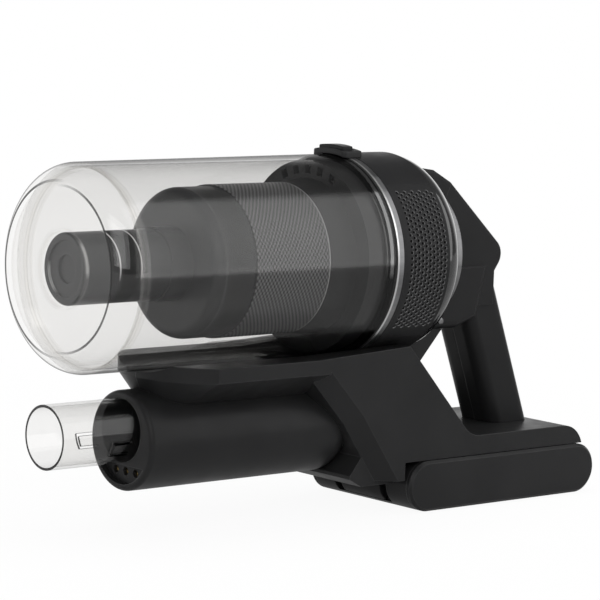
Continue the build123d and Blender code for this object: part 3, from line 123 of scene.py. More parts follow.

# Dust cup: black band with its two pale edges, and arcs on the dish and the lip as (reach, half width).
# The pale edges, on the upper part only, and the arcs, each on one side only, are painted highlights.
CUP_BAND = (-0.2745, -0.26)
CUP_BAND_LEVEL = 0.005
CUP_EDGE_HIGHLIGHT_LEVEL = 0.5
CUP_EDGE_HIGHLIGHT_HALVES = (0.0006, 0.0005)
CUP_EDGE_HIGHLIGHT_FADE = (-0.006, 0.0)
CUP_FACE_DEPTH = 0.0018
CUP_ARC_HIGHLIGHT_LEVEL = 0.3
CUP_DISH_HIGHLIGHT = (0.0155, 0.0006)
CUP_DISH_HIGHLIGHT_ACROSS_FADE = (0.007, 0.011)
CUP_DISH_HIGHLIGHT_ABOVE_FADE = (-0.001, 0.004)
CUP_LIP_HIGHLIGHT = (0.0196, 0.0005)
CUP_LIP_HIGHLIGHT_ACROSS_FADE = (-0.015, -0.01)
CUP_LIP_HIGHLIGHT_ABOVE_FADE = (-0.004, 0.0)
CUP_CLOUD = (25.0, 4.0)
CUP_ROUGH = (0.34, 0.5)
CUP_SHINE = 0.25
CUP_SOFT_EDGE = 0.0008

# Faces of the added pieces that meet at more than this stay sharp.
SHARP_ANGLE = math.radians(40)


def material(name):
    """A new node material with its shader and output."""
    made = bpy.data.materials.new(name)
    made.use_nodes = True
    tree = made.node_tree
    tree.nodes.clear()
    out = tree.nodes.new("ShaderNodeOutputMaterial")
    shader = tree.nodes.new("ShaderNodeBsdfPrincipled")
    tree.links.new(shader.outputs[0], out.inputs[0])
    return made, tree, shader, out


def add(tree, kind, **values):
    """A node with its settings and input values."""
    node = tree.nodes.new(kind)
    for key, value in values.items():
        if key in node.inputs:
            node.inputs[key].default_value = value
        else:
            setattr(node, key, value)
    return node


def calc(tree, operation, *values):
    """A math node on numbers and sockets."""
    node = add(tree, "ShaderNodeMath", operation=operation)
    for slot, value in zip(node.inputs, values):
        if isinstance(value, (int, float)):
            slot.default_value = value
        else:
            tree.links.new(value, slot)
    return node.outputs[0]


def times(tree, product, *factors):
    """The product of numbers and sockets."""
    for factor in factors:
        product = calc(tree, "MULTIPLY", product, factor)
    return product


def length(tree, first, second):
    """The length of a vector with two parts."""
    return calc(tree, "SQRT", calc(tree, "ADD", times(tree, first, first), times(tree, second, second)))


def mix_shaders(tree, share, first, second):
    """A shader between two, by a share."""
    mixed = add(tree, "ShaderNodeMixShader")
    for slot, source in zip(mixed.inputs, (share, first.outputs[0], second.outputs[0])):
        tree.links.new(source, slot)
    return mixed


def about_axis(tree, height):
    """Place along X, across and above a lengthwise axis, and reach from it.

    The last value is how squarely a face looks from or to the axis.
    """
    place = add(tree, "ShaderNodeTexCoord")
    split = add(tree, "ShaderNodeSeparateXYZ")
    tree.links.new(place.outputs["Object"], split.inputs[0])
    across = split.outputs["Y"]
    above = calc(tree, "SUBTRACT", split.outputs["Z"], height)
    reach = length(tree, across, above)
    turned = add(tree, "ShaderNodeSeparateXYZ")
    tree.links.new(place.outputs["Normal"], turned.inputs[0])
    sideways = times(tree, across, turned.outputs["Y"])
    upwards = times(tree, above, turned.outputs["Z"])
    outward = calc(tree, "ADD", sideways, upwards)
    facing_out = calc(tree, "ABSOLUTE", calc(tree, "DIVIDE", outward, reach))
    return split.outputs["X"], across, above, reach, facing_out


def noise(tree, scale, detail=3.0, stretch=None):
    """Noise in object space, stretched along an axis where asked."""
    place = add(tree, "ShaderNodeTexCoord").outputs["Object"]
    field = add(tree, "ShaderNodeTexNoise", Scale=scale, Detail=detail)
    if stretch:
        lay = add(tree, "ShaderNodeMapping", Scale=stretch)
        tree.links.new(place, lay.inputs["Vector"])
        place = lay.outputs["Vector"]
    tree.links.new(place, field.inputs["Vector"])
    return field.outputs["Fac"]


def ramp(tree, source, low, high, start=NOISE_RANGE[0], end=NOISE_RANGE[1]):
    """A value from a field, mapped to a range."""
    spread = add(tree, "ShaderNodeMapRange")
    spread.inputs["From Min"].default_value = start
    spread.inputs["From Max"].default_value = end
    spread.inputs["To Min"].default_value = low
    spread.inputs["To Max"].default_value = high
    tree.links.new(source, spread.inputs["Value"])
    return spread.outputs["Result"]


def tint(tree, source, dark, light):
    """A colour between two, by a field."""
    blend = add(tree, "ShaderNodeMix", data_type="RGBA")
    blend.inputs[MIX_UNDER].default_value = (*dark, 1)
    blend.inputs[MIX_OVER].default_value = (*light, 1)
    tree.links.new(source, blend.inputs[MIX_SHARE])
    return blend.outputs[MIX_RESULT]


def cloudy(tree, field, dark, light):
    """A colour between two, by the usual range of a noise field."""
    return tint(tree, ramp(tree, field, 0.0, 1.0), dark, light)


def over(tree, colour, share, shade):
    """A colour with a share of a plain shade laid over it."""
    blend = add(tree, "ShaderNodeMix", data_type="RGBA")
    blend.inputs[MIX_OVER].default_value = (*shade, 1)
    tree.links.new(share, blend.inputs[MIX_SHARE])
    tree.links.new(colour, blend.inputs[MIX_UNDER])
    return blend.outputs[MIX_RESULT]


def band(tree, source, middle, half):
    """One at a place and nought beyond a half width."""
    off = calc(tree, "ABSOLUTE", calc(tree, "SUBTRACT", source, middle))
    return ramp(tree, off, 1.0, 0.0, BAND_CORE * half, half)


def between(tree, source, start, end):
    """One in the middle of a stretch and nought beyond its ends."""
    return band(tree, source, (start + end) / 2, (end - start) / 2)


def grey(level, blue=0.0):
    """A grey with a little more or less blue."""
    return level, level, level + blue


def banded(tree, colour, bands):
    """A colour with bands across the length, each (X of the middle, half width, grey level)."""
    if bands:
        along = about_axis(tree, AXIS_Z)[0]
        for middle, half, level in bands:
            colour = over(tree, colour, band(tree, along, middle, half), grey(level))
    return colour


def soft_edges(tree, radius):
    """A normal that rounds the sharp edges of moulded pieces."""
    return add(tree, "ShaderNodeBevel", samples=BEVEL_SAMPLES, Radius=radius).outputs["Normal"]


def bumpy(tree, height, strength, depth, normal=None):
    """A normal with a bump on it."""
    bump = add(tree, "ShaderNodeBump", Strength=strength, Distance=depth)
    tree.links.new(height, bump.inputs["Height"])
    if normal is not None:
        tree.links.new(normal, bump.inputs["Normal"])
    return bump.outputs["Normal"]


def plastic(name, dark, light, rough, spread, grain=0.0, edge=0.0006, shine=0.5, coat=0.0, bands=()):
    """Moulded plastic: slight colour and gloss variation, a fine spark-eroded grain and soft edges with paler
    lines on them, painted highlights.
    """
    made, tree, shader, _ = material(name)
    rounded = soft_edges(tree, edge)
    faces = add(tree, "ShaderNodeNewGeometry")
    flat = add(tree, "ShaderNodeVectorMath", operation="DOT_PRODUCT")
    tree.links.new(rounded, flat.inputs[0])
    tree.links.new(faces.outputs["True Normal"], flat.inputs[1])
    # Painted highlight: the colour goes paler along edges, where the rounded normal turns from the true one.
    edge_highlight = ramp(tree, flat.outputs["Value"], 1.0, 0.0, *EDGE_HIGHLIGHT_RANGE)
    colour = banded(tree, cloudy(tree, noise(tree, *PLASTIC_CLOUD), dark, light), bands)
    colour = over(tree, colour, edge_highlight, [EDGE_HIGHLIGHT * part for part in light])
    tree.links.new(colour, shader.inputs["Base Color"])
    roughness = ramp(tree, noise(tree, *PLASTIC_GLOSS), rough - spread, rough + spread)
    tree.links.new(roughness, shader.inputs["Roughness"])
    shader.inputs["Specular IOR Level"].default_value = shine
    shader.inputs["Coat Weight"].default_value = coat
    shader.inputs["Coat Roughness"].default_value = COAT_ROUGH
    if grain:
        rounded = bumpy(tree, noise(tree, *PLASTIC_GRAIN), grain, GRAIN_DEPTH, rounded)
    tree.links.new(rounded, shader.inputs["Normal"])
    return made


def metal(name, dark, light, rough, stretch, edge=0.0004, bands=()):
    """Satin metal with a turned or brushed sheen."""
    made, tree, shader, _ = material(name)
    lines = noise(tree, *METAL_LINES, stretch)
    colour = banded(tree, cloudy(tree, lines, dark, light), bands)
    tree.links.new(colour, shader.inputs["Base Color"])
    roughness = ramp(tree, lines, rough - METAL_BELOW, rough + METAL_ABOVE)
    tree.links.new(roughness, shader.inputs["Roughness"])
    shader.inputs["Metallic"].default_value = 1.0
    tree.links.new(soft_edges(tree, edge), shader.inputs["Normal"])
    return made


def rubber(name, dark, light):
    """Soft matt rubber."""
    made, tree, shader, _ = material(name)
    tree.links.new(cloudy(tree, noise(tree, RUBBER_CLOUD), dark, light), shader.inputs["Base Color"])
    tree.links.new(ramp(tree, noise(tree, RUBBER_GLOSS), *RUBBER_ROUGH), shader.inputs["Roughness"])
    shader.inputs["Specular IOR Level"].default_value = RUBBER_SHINE
    tree.links.new(bumpy(tree, noise(tree, RUBBER_GRAIN), *RUBBER_BUMP), shader.inputs["Normal"])
    return made


def felt(name, dark, light):
    """Fibrous filter felt."""
    made, tree, shader, _ = material(name)
    fibre = noise(tree, *FELT_FIBRE)
    tree.links.new(cloudy(tree, fibre, dark, light), shader.inputs["Base Color"])
    tree.links.new(ramp(tree, fibre, *FELT_ROUGH), shader.inputs["Roughness"])
    tree.links.new(bumpy(tree, fibre, *FELT_BUMP), shader.inputs["Normal"])
    return made


def clear(
    name,
    sheet,
    cut_left,
    mirror=0.04,
    rise=0.25,
    height=AXIS_Z,
    cut_reach=BIN_CUT_REACH,
    lines=(),
    painted_shade_stretches=(),
    glints=(),
    skin_left=1.0,
    gloss=(0.02, 0.05),
):
    """Smoke-tinted clear plastic: its tint deepens as the wall turns away, and its skin reflects.

    sheet is the share of light that a wall lets through, face on, and cut_left the share that is
    left at a cut face further than cut_reach from the axis. mirror is the share that the skin
    reflects, face on, and rise what it gains towards edge on. lines are (radius, half width, X from,
    X to, side) dark rings of painted shade, each fading in on one side only. beads are (X from, X to,
    share left) stretches of painted shade, a darker tint. glints are (X from, X to, more) stretches
    that reflect more above the axis, and skin_left is the share of light that is left where the outer
    skin turns away.
    """
    made, tree, shader, out = material(name)
    shader.inputs["Base Color"].default_value = SKIN_COLOUR
    shader.inputs["Metallic"].default_value = 1.0
    tree.links.new(ramp(tree, noise(tree, SKIN_CLOUD), *gloss), shader.inputs["Roughness"])
    glass = add(tree, "ShaderNodeBsdfTransparent")
    facing = add(tree, "ShaderNodeLayerWeight", Blend=0.5).outputs["Facing"]
    shade = add(tree, "ShaderNodeValToRGB")
    stops = shade.color_ramp.elements
    while len(stops) < len(WALL_TURNS):
        stops.new(0.5)
    for stop, turn in zip(stops, WALL_TURNS):
        left = max(sheet ** (1 / max(1 - turn, LEAST_FACING)), LEAST_LEFT)
        stop.position = turn
        stop.color = (*(left * part for part in SMOKE), 1)
    tree.links.new(facing, shade.inputs["Fac"])
    along, across, above, reach, facing_out = about_axis(tree, height)
    beyond = calc(tree, "GREATER_THAN", reach, cut_reach)
    cut = times(tree, ramp(tree, facing_out, 1.0, 0.0, *CUT_RANGE), beyond)
    share_left = calc(tree, "MULTIPLY_ADD", cut, cut_left - 1.0, 1.0)
    # Painted shade: dark rings, each fading in on one side only.
    for radius, half, start, end, side in lines:
        ring = times(tree, band(tree, reach, radius, half), between(tree, along, start, end))
        ring = times(tree, ring, ramp(tree, times(tree, across, side), 0.0, PAINTED_LINE_DARK, *PAINTED_LINE_FADE))
        share_left = times(tree, share_left, calc(tree, "SUBTRACT", 1.0, ring))
    if skin_left < 1.0:
        fore = calc(tree, "MINIMUM", calc(tree, "SUBTRACT", along, LID_TURN_X), 0.0)
        aside = calc(tree, "MAXIMUM", calc(tree, "SUBTRACT", reach, LID_TURN_REACH), 0.0)
        outer = calc(tree, "GREATER_THAN", length(tree, fore, aside), LID_SKIN_REACH)
        edge = ramp(tree, facing, 0.0, 1.0 - skin_left, *SKIN_EDGE_RANGE)
        share_left = times(tree, share_left, calc(tree, "SUBTRACT", 1.0, times(tree, outer, edge)))
    # Painted shade: a darker tint along each of these stretches.
    for start, end, left in painted_shade_stretches:
        painted_shade = between(tree, along, start, end)
        share_left = times(tree, share_left, calc(tree, "MULTIPLY_ADD", painted_shade, left - 1.0, 1.0))
    colour = add(tree, "ShaderNodeVectorMath", operation="SCALE")
    tree.links.new(shade.outputs["Color"], colour.inputs[0])
    tree.links.new(share_left, colour.inputs["Scale"])
    tree.links.new(colour.outputs["Vector"], glass.inputs["Color"])
    share = calc(tree, "MULTIPLY_ADD", calc(tree, "POWER", facing, SKIN_POWER), rise, mirror)
    for start, end, more in glints:
        glint = times(tree, between(tree, along, start, end), more)
        share = calc(tree, "MULTIPLY_ADD", glint, ramp(tree, above, 0.0, 1.0, *GLINT_FADE), share)
    tree.links.new(mix_shaders(tree, share, glass, shader).outputs[0], out.inputs[0])
    return made


def weave(name, dark, light, rim):
    """Fine woven steel mesh round the cyclone cage, with a pale line on its rear rim that is a painted
    highlight.
    """
    made, tree, shader, _ = material(name)
    along, across, above, _, _ = about_axis(tree, AXIS_Z)
    turn = calc(tree, "ARCTAN2", above, across)
    lengthwise = calc(tree, "SINE", times(tree, along, 2 * math.pi / WEAVE_PITCH))
    crosswise = calc(tree, "SINE", times(tree, turn, WEAVE_TURNS))
    wires = ramp(tree, times(tree, lengthwise, crosswise), 0.0, 1.0, *WEAVE_RANGE)
    # Painted highlight: a pale line round the screen's rear rim.
    pale = band(tree, along, rim, WEAVE_RIM_HIGHLIGHT_HALF)
    colour = over(tree, tint(tree, wires, dark, light), pale, grey(WEAVE_RIM_HIGHLIGHT_LEVEL))
    tree.links.new(colour, shader.inputs["Base Color"])
    shader.inputs["Metallic"].default_value = WEAVE_METALLIC
    tree.links.new(ramp(tree, wires, *WEAVE_ROUGH, 0.0, 1.0), shader.inputs["Roughness"])
    tree.links.new(bumpy(tree, wires, *WEAVE_BUMP), shader.inputs["Normal"])
    return made


def cup_plastic(name, dark, light, start, end):
    """Grey cup with a matt black band; its thin pale edges and a pale arc on its dish and lip are painted
    highlights.
    """
    made, tree, shader, _ = material(name)
    along, across, above, reach, _ = about_axis(tree, AXIS_Z)
    black = between(tree, along, start, end)
    # Painted highlights: the band's pale edges on the upper part, and arcs on one side of the dish and the
    # lip.
    edges = [band(tree, along, place, half) for place, half in zip((start, end), CUP_EDGE_HIGHLIGHT_HALVES)]
    pale = times(tree, calc(tree, "MAXIMUM", *edges), ramp(tree, above, 0.0, 1.0, *CUP_EDGE_HIGHLIGHT_FADE))
    front = calc(tree, "LESS_THAN", along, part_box("fine_dust_cup")[0].x + CUP_FACE_DEPTH)
    dish = times(
        tree,
        front,
        band(tree, reach, *CUP_DISH_HIGHLIGHT),
        ramp(tree, across, 0.0, 1.0, *CUP_DISH_HIGHLIGHT_ACROSS_FADE),
        ramp(tree, above, 1.0, 0.0, *CUP_DISH_HIGHLIGHT_ABOVE_FADE),
    )
    lip = times(
        tree,
        front,
        band(tree, reach, *CUP_LIP_HIGHLIGHT),
        ramp(tree, across, 1.0, 0.0, *CUP_LIP_HIGHLIGHT_ACROSS_FADE),
        ramp(tree, above, 0.0, 1.0, *CUP_LIP_HIGHLIGHT_ABOVE_FADE),
    )
    colour = cloudy(tree, noise(tree, *CUP_CLOUD), dark, light)
    layers = ((black, CUP_BAND_LEVEL), (pale, CUP_EDGE_HIGHLIGHT_LEVEL), (dish, CUP_ARC_HIGHLIGHT_LEVEL), (lip, CUP_ARC_HIGHLIGHT_LEVEL))
    for share, level in layers:
        colour = over(tree, colour, share, grey(level))
    tree.links.new(colour, shader.inputs["Base Color"])
    tree.links.new(ramp(tree, black, *CUP_ROUGH, 0.0, 1.0), shader.inputs["Roughness"])
    shader.inputs["Specular IOR Level"].default_value = CUP_SHINE
    tree.links.new(soft_edges(tree, CUP_SOFT_EDGE), shader.inputs["Normal"])
    return made


# Colours and roughness of the finishes.
CHARCOAL = dict(dark=grey(0.0125, 0.0005), light=grey(0.0155, 0.0005), rough=0.4, spread=0.05)
SATIN = dict(dark=grey(0.0155, 0.0005), light=grey(0.0195, 0.0005), rough=0.36, spread=0.05)
HANDLE = dict(dark=grey(0.0115, 0.0005), light=grey(0.0145, 0.0005), rough=0.36, spread=0.05)
GLOSS = dict(dark=grey(0.007, 0.0005), light=grey(0.0095, 0.0005), spread=0.03, edge=0.0007)
CYCLONE = dict(dark=grey(0.018, 0.001), light=grey(0.023, 0.001), rough=0.4, spread=0.05, shine=0.3)
FLANGE = dict(dark=grey(0.0105, 0.0005), light=grey(0.0135, 0.0005), rough=0.4, spread=0.05)
# Hole mouths: glossy and coated, and paler than the drum as a painted glint.
MOUTH_GLINT = dict(dark=grey(0.055, 0.001), light=grey(0.07, 0.001), rough=0.12, spread=0.04)
BUTTON = dict(dark=grey(0.05, 0.002), light=grey(0.06, 0.002), rough=0.4, spread=0.05)
DISPLAY = dict(dark=grey(0.004, 0.001), light=grey(0.007, 0.001), rough=0.06, spread=0.02)
BOARD = dict(dark=(0.01, 0.09, 0.04), light=(0.02, 0.13, 0.06), rough=0.35, spread=0.08)
WRAP = dict(dark=(0.04, 0.14, 0.3), light=(0.06, 0.18, 0.36), rough=0.3, spread=0.06)
SILVER = dict(dark=grey(0.24, 0.005), light=grey(0.32, 0.005), rough=0.34, stretch=(0.02, 1, 1))
PIN = dict(dark=grey(0.3, 0.005), light=grey(0.38, 0.005), rough=0.24, stretch=(1, 0.1, 0.1))
STEEL = dict(dark=grey(0.5, 0.01), light=grey(0.62, 0.01), rough=0.3, stretch=(1, 0.1, 0.1))
ALLOY = dict(dark=grey(0.55, 0.01), light=grey(0.68, 0.01), rough=0.34, stretch=(0.1, 1, 1))
IRON = dict(dark=grey(0.12, 0.005), light=grey(0.2, 0.005), rough=0.5, stretch=(6, 0.2, 0.2))
BRASS = dict(dark=(0.6, 0.42, 0.16), light=(0.75, 0.55, 0.24), rough=0.25, stretch=(0.2, 1, 1))

# The cap's rear part is darker, with a pale line where it begins that is a painted highlight.
cap_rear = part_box("shroud_cap")[1].x
cap_line = cap_rear - 0.021
cap_dark_and_highlight_bands = (((cap_line + cap_rear) / 2, (cap_rear - cap_line) / 2, 0.012), (cap_line, 0.0005, 0.045))
# The front ring's front edge is pale, a painted highlight.
ring_highlight_bands = ((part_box("front_ring")[0].x, 0.0011, 0.85),)
screen_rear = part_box("mesh_screen")[1].x

# Painted shade: dark rings in the lid's rounded edge, each on one side only, and the bin's darker rear end.
# The bin's rear end also has its glint.
lid_painted_dark_lines = ((0.0482, 0.0009, -0.3045, -0.2995, 1), (0.0455, 0.0008, -0.3022, -0.2983, -1))
bin_painted_shade = ((-0.1135, -0.106, 0.35),)
bin_glints = ((-0.1128, -0.1096, 0.2),)

drum_grey = plastic("drum_grey", **CHARCOAL, grain=0.2, edge=0.0001, shine=0.17)
black_satin = plastic("black_satin", **SATIN, grain=0.15, edge=0.0008, shine=0.18)
handle_black = plastic("handle_black", **HANDLE, grain=0.15, edge=0.0008, shine=0.17)
# The hole mouths' paler colour is a painted glint; their gloss and coat are real.
mouth_gloss_and_glint = plastic("mouth_gloss_and_glint", **MOUTH_GLINT, edge=0.0001, shine=0.9, coat=0.9)
clear_bin = clear(
    "clear_bin",
    sheet=0.966,
    cut_left=0.93,
    painted_shade_stretches=bin_painted_shade,
    glints=bin_glints,
    skin_left=0.4,
    gloss=(0.12, 0.15),
)

by_slot = {
    "charcoal": plastic("charcoal", **CHARCOAL, grain=0.2, edge=0.0008, shine=0.17),
    "black_satin": black_satin,
    "black_gloss": plastic("black_gloss", **GLOSS, rough=0.12, shine=0.4, coat=0.3),
    "cyclone_grey": plastic("cyclone_grey", **CYCLONE),
    "mesh_steel": weave("mesh_steel", dark=grey(0.02, 0.001), light=grey(0.13, 0.002), rim=screen_rear),
    "satin_silver": metal("satin_silver", **SILVER),
    "soft_black": rubber("soft_black", dark=grey(0.01), light=grey(0.015)),
    "filter_felt": felt("filter_felt", dark=grey(0.55, -0.02), light=grey(0.72, -0.02)),
    "filter_dark": felt("filter_dark", dark=grey(0.01), light=grey(0.02)),
    "steel": metal("steel", **STEEL),
    "alloy": metal("alloy", **ALLOY),
    "iron": metal("iron", **IRON),
    "contact_brass": metal("contact_brass", **BRASS),
    "board_green": plastic("board_green", **BOARD),
    "cell_wrap": plastic("cell_wrap", **WRAP),
    "display_black": plastic("display_black", **DISPLAY, coat=1.0),
    "button_grey": plastic("button_grey", **BUTTON, grain=0.15),
    "clear_smoke": clear_bin,
}
own_finish = {
    "inlet_tube": clear("clear_tube", sheet=0.98, cut_left=0.04, rise=0.4, height=TUBE_Z, cut_reach=0.0),
    "bin_lid": clear("clear_lid", sheet=0.994, cut_left=0.96, lines=lid_painted_dark_lines, skin_left=0.4),
    "lid_seal": clear("clear_seal", sheet=0.998, cut_left=0.97, mirror=0.002, rise=0.0),
    "fine_dust_cup": cup_plastic("cup_grey", grey(0.022, 0.001), grey(0.032, 0.001), *CUP_BAND),
    "shroud_cap": plastic("cap_grey", **CYCLONE, bands=cap_dark_and_highlight_bands),
    "front_ring": metal("ring_silver", **SILVER, bands=ring_highlight_bands),
    "rear_bell": plastic("bell_gloss", **GLOSS, rough=0.1, shine=0.6, coat=1.0),
    "cyclone_flange": plastic("flange_black", **FLANGE, shine=0.2),
    "motor_drum": drum_grey,
    "handle_left": handle_black,
    "handle_right": handle_black,
    "handle_pin": metal("pin_silver", **PIN, edge=0.0018),
}
for entry in frame["record"]["subparts"]:
    finishes = nodes[entry["node"]].data.materials
    finishes.clear()
    finishes.append(own_finish.get(entry["node"], by_slot[entry["material_slot"]]))


def new_piece(name, made, finishes, body, node):
    """A smooth mesh object that rides on a body in place of a CAD node."""
    for face in made.faces:
        face.smooth = True
    mesh = bpy.data.meshes.new(name)
    made.to_mesh(mesh)
    made.free()
    mesh.set_sharp_from_angle(angle=SHARP_ANGLE)
    piece = bpy.data.objects.new(name, mesh)
    scene.collection.objects.link(piece)
    for finish in finishes:
        mesh.materials.append(finish)
    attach(piece, body)
    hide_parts(node)
    return piece


def bridge(made, first, second):
    """Faces between two closed rings that have equally many points."""
    faces = []
    for index in range(len(first)):
        follow = (index + 1) % len(first)
        faces.append(made.faces.new((first[index], first[follow], second[follow], second[index])))
    return faces


def grille(name, node, side):
    """Curved exhaust panel with staggered round holes, each with a countersunk mouth and a wall."""
    low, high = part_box(node)
    outer = max(abs(low.y), abs(high.y))
    half_turn = math.asin((high.z - low.z) / 2 / outer)
    wall = 0.0025
    columns = 10
    rows = 26
    pitch = 0.0029
    step = math.radians(3.25)
    field_x = low.x + 0.003025
    field_turn = math.radians(-40.6)
    # Rings of a hole from the skin inwards as (share of its radius, depth), and strips that form its mouth.
    hole = 0.00085
    profile = ((1.34, 0.0), (1.27, 0.00004), (1.04, 0.00028), (1.0, 0.00042), (1.0, wall))
    mouth = (1, 2, 3)
    # Each hole takes the place of a square of faces, this many along each side.
    cells = 4
    middle = cells // 2
    xs = [low.x] + [field_x + i * pitch / cells for i in range(cells * columns + 1)] + [high.x]
    turns = [-half_turn] + [field_turn + j * step / cells for j in range(cells * rows + 1)] + [half_turn]
    made = bmesh.new()
    grid = {}

    def point(x, angle, radius):
        return Vector((x, side * radius * math.cos(angle), AXIS_Z + radius * math.sin(angle)))

    def corner(i, j, deep):
        if (i, j, deep) not in grid:
            grid[i, j, deep] = made.verts.new(point(xs[i], turns[j], outer - deep * wall))
        return grid[i, j, deep]

    border = [(i, 0) for i in range(cells)] + [(cells, j) for j in range(cells)]
    border = border + [(cells - i, cells - j) for i, j in border]
    taken = set()
    for column in range(columns):
        late = column % 2
        for row in range(rows - late):
            i0 = 1 + cells * column
            j0 = 1 + cells * row + middle * late
            taken.update((i0 + i, j0 + j) for i in range(cells) for j in range(cells))
            rings = [[corner(i0 + i, j0 + j, 0) for i, j in border]]
            for size, drop in profile:
                ring = []
                for i, j in border:
                    way = math.atan2((j - middle) * step * outer, (i - middle) * pitch)
                    x = xs[i0 + middle] + size * hole * math.cos(way)
                    angle = turns[j0 + middle] + size * hole * math.sin(way) / outer
                    ring.append(made.verts.new(point(x, angle, outer - drop)))
                rings.append(ring)
            rings.append([corner(i0 + i, j0 + j, 1) for i, j in border])
            for strip, (first, second) in enumerate(zip(rings, rings[1:])):
                for face in bridge(made, first, second):
                    face.material_index = int(strip in mouth)
    last_i = len(xs) - 1
    last_j = len(turns) - 1
    for i in range(last_i):
        for j in range(last_j):
            if (i, j) not in taken:
                for deep in (0, 1):
                    made.faces.new([corner(i + a, j + b, deep) for a, b in ((0, 0), (1, 0), (1, 1), (0, 1))])
    rim = [((i, j), (i + 1, j)) for i in range(last_i) for j in (0, last_j)]
    rim = rim + [((i, j), (i, j + 1)) for j in range(last_j) for i in (0, last_i)]
    for (i, j), (k, m) in rim:
        made.faces.new((corner(i, j, 0), corner(k, m, 0), corner(k, m, 1), corner(i, j, 1)))
    bmesh.ops.recalc_face_normals(made, faces=made.faces)
    return new_piece(name, made, (drum_grey, mouth_gloss_and_glint), "main_body", node)


def saddle(name, node):
    """Latch saddle on the drum: a curved frame with rounded corners and edges round the button's well."""
    low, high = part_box(node)
    key_low, key_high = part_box("latch_button")
    room = 0.0004
    depth = 0.00335
    soft = 0.0006
    eased = 0.293 * soft
    half = key_high.y + room
    top = high.z - AXIS_Z
    arc_step = 15
    arc_points = 90 // arc_step + 1
    cuts = 16
    # Rounded rectangles as (front, rear, half width, corner radius), and their edge as (inset, drop) steps,
    # with eased as the step where the rounded edge has turned by half.
    well = (key_low.x - room, key_high.x + room, half, 0.0005)
    rim = (low.x + 0.0015, high.x, half + 0.0031, 0.002)
    edge = ((0.0, depth), (0.0, soft), (eased, eased), (soft, 0.0))
    made = bmesh.new()

    def loop(front, rear, side, radius, grow, drop):
        """A rounded rectangle, grown by a width, at a drop below the curved top."""
        full = radius + grow
        arcs = []
        for turn, (x, y) in enumerate(((rear, side), (front, side), (front, -side), (rear, -side))):
            x += math.copysign(radius, front + rear - 2 * x)
            y -= math.copysign(radius, y)
            ways = [math.radians(90 * turn + arc_step * i) for i in range(arc_points)]
            arcs.append([(x + full * math.cos(w), y + full * math.sin(w)) for w in ways])
        points = []
        for arc, follow in zip(arcs, arcs[1:] + arcs[:1]):
            (x0, y0), (x1, y1) = arc[-1], follow[0]
            points += arc
            points += [(x0 + (x1 - x0) * i / cuts, y0 + (y1 - y0) * i / cuts) for i in range(1, cuts)]
        return [made.verts.new((x, y, AXIS_Z + math.sqrt((top - drop) ** 2 - y * y))) for x, y in points]

    rings = [loop(*rim, -inset, drop) for inset, drop in edge]
    rings += [loop(*well, inset, drop) for inset, drop in reversed(edge)]
    for first, second in zip(rings, rings[1:] + rings[:1]):
        bridge(made, first, second)
    return new_piece(name, made, (black_satin,), "main_body", node)


grille("exhaust_grille_left", "grille_left", -1)
grille("exhaust_grille_right", "grille_right", 1)
saddle("latch_saddle", "latch_base")

# Paper floor: it keeps the shadow near the object and turns into the white backdrop further away.
FLOOR_HALF = 6
FLOOR_DROP = 0.0005
FLOOR_MIDDLE = (-0.1, 0, 0)
PAPER_LEVEL = 0.9
PAPER_ROUGH = 0.9
BACKDROP_SHARE = (0.94, 1.0)
BACKDROP_RANGE = (0.15, 0.6)
MIRRORED_GLOW = (0.42, 0.9)
MIRRORED_RANGE = (0.05, 0.4)

# World: white behind the object, a dim sky as light, and in reflections a wall that is paler at the back.
SKY_STRENGTH = 0.35
WALL_LEAST = 0.15
WALL_MORE = 0.9
WALL_Y_RANGE = (-0.1, 0.3)
WALL_Z_RANGE = (0.2, 0.45)


def ray_kinds(tree):
    """Sockets for rays that see plainly, straight or through clear plastic, and for mirrored rays."""
    rays = add(tree, "ShaderNodeLightPath").outputs
    return calc(tree, "MAXIMUM", rays["Is Camera Ray"], rays["Is Transmission Ray"]), rays["Is Glossy Ray"]


floor_mesh = bpy.data.meshes.new("floor")
corners = [(FLOOR_HALF * x, FLOOR_HALF * y, 0) for x, y in ((-1, -1), (1, -1), (1, 1), (-1, 1))]
floor_mesh.from_pydata(corners, [], [(0, 1, 2, 3)])
floor = bpy.data.objects.new("floor", floor_mesh)
floor.location = (0, 0, -FLOOR_DROP)
scene.collection.objects.link(floor)
paper, tree, shader, out = material("paper")
shader.inputs["Base Color"].default_value = (*grey(PAPER_LEVEL), 1)
shader.inputs["Roughness"].default_value = PAPER_ROUGH
glow = add(tree, "ShaderNodeEmission", Color=WHITE)
spot = add(tree, "ShaderNodeNewGeometry").outputs["Position"]
split = add(tree, "ShaderNodeSeparateXYZ")
tree.links.new(spot, split.inputs[0])
mirrored = ramp(tree, split.outputs["Y"], *MIRRORED_GLOW, *MIRRORED_RANGE)
seen, glossy = ray_kinds(tree)
tree.links.new(calc(tree, "MAXIMUM", seen, mirrored), glow.inputs["Strength"])
away = add(tree, "ShaderNodeVectorMath", operation="DISTANCE")
away.inputs[1].default_value = FLOOR_MIDDLE
tree.links.new(spot, away.inputs[0])
backdrop = ramp(tree, away.outputs["Value"], *BACKDROP_SHARE, *BACKDROP_RANGE)
share = times(tree, calc(tree, "MAXIMUM", seen, glossy), backdrop)
tree.links.new(mix_shaders(tree, share, shader, glow).outputs[0], out.inputs[0])
floor_mesh.materials.append(paper)

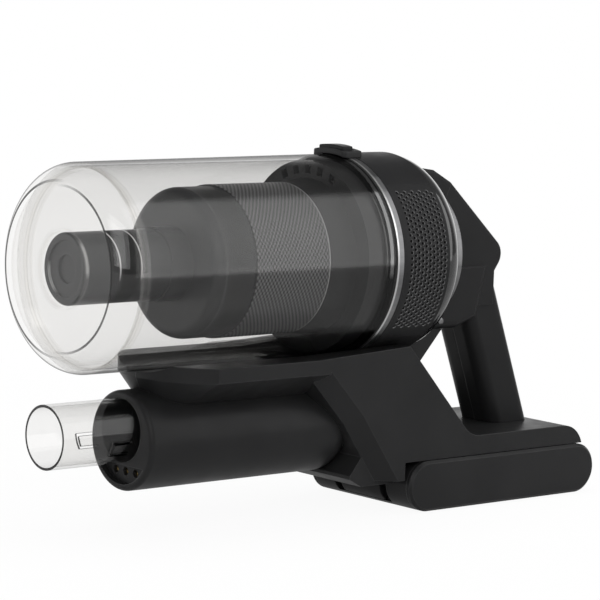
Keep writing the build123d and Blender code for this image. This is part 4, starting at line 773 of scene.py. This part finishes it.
world = bpy.data.worlds.new("studio")
scene.world = world
world.use_nodes = True
tree = world.node_tree
tree.nodes.clear()
out = tree.nodes.new("ShaderNodeOutputWorld")
sky = add(tree, "ShaderNodeBackground", Color=WHITE, Strength=SKY_STRENGTH)
plain = add(tree, "ShaderNodeBackground", Color=WHITE, Strength=1.0)
wall = add(tree, "ShaderNodeBackground", Color=WHITE)
split = add(tree, "ShaderNodeSeparateXYZ")
tree.links.new(add(tree, "ShaderNodeTexCoord").outputs["Generated"], split.inputs[0])
behind = ramp(tree, split.outputs["Y"], 0.0, WALL_MORE, *WALL_Y_RANGE)
below = ramp(tree, split.outputs["Z"], 1.0, 0.0, *WALL_Z_RANGE)
tree.links.new(calc(tree, "MULTIPLY_ADD", behind, below, WALL_LEAST), wall.inputs["Strength"])
seen, glossy = ray_kinds(tree)
reflected = mix_shaders(tree, glossy, sky, wall)
tree.links.new(mix_shaders(tree, seen, reflected, plain).outputs[0], out.inputs[0])

# Camera, fitted to the photo's ellipses and edges.
CAMERA_TURN = math.radians(40.78)
CAMERA_RISE = math.radians(6.82)
CAMERA_ROLL = math.radians(2.05)
CAMERA_REACH = 1.70493
LENS_MM = 176.57
SENSOR_MM = 36.0
CLIP = (0.05, 50.0)
TARGET = Vector((-0.12855, 0.0, 0.12359))
level = math.cos(CAMERA_RISE)
back = Vector((-math.sin(CAMERA_TURN) * level, -math.cos(CAMERA_TURN) * level, math.sin(CAMERA_RISE)))
right = Vector((math.cos(CAMERA_TURN), -math.sin(CAMERA_TURN), 0))
up = back.cross(right)
tilted_right = math.cos(CAMERA_ROLL) * right + math.sin(CAMERA_ROLL) * up
tilted_up = -math.sin(CAMERA_ROLL) * right + math.cos(CAMERA_ROLL) * up


def softbox(name, place, aim, width, height, power):
    """A large soft lamp that points at a place."""
    lamp = bpy.data.lights.new(name, "AREA")
    lamp.shape = "RECTANGLE"
    lamp.size = width
    lamp.size_y = height
    lamp.energy = power
    stand = bpy.data.objects.new(name, lamp)
    stand.location = place
    stand.rotation_euler = (Vector(aim) - Vector(place)).to_track_quat("-Z", "Y").to_euler()
    scene.collection.objects.link(stand)
    return stand


softbox("key", (0.785, -0.64, 0.655), (0.785, 0.2, 0.115), width=1.3, height=1.5, power=7.0)
softbox("fill", (-1.3, -1.1, 0.9), TARGET, width=1.6, height=1.4, power=12.0)
softbox("top", (-0.1, 0.1, 1.6), TARGET, width=1.2, height=0.8, power=14.0).visible_glossy = False

lens = bpy.data.cameras.new("photo_camera")
lens.sensor_width = SENSOR_MM
lens.lens = LENS_MM
lens.clip_start, lens.clip_end = CLIP
camera = bpy.data.objects.new("photo_camera", lens)
axes = Matrix((tilted_right, tilted_up, back)).transposed()
camera.matrix_world = Matrix.Translation(TARGET + back * CAMERA_REACH) @ axes.to_4x4()
scene.collection.objects.link(camera)
scene.camera = camera
scene.view_settings.view_transform = "Standard"
scene.cycles.transparent_max_bounces = 32
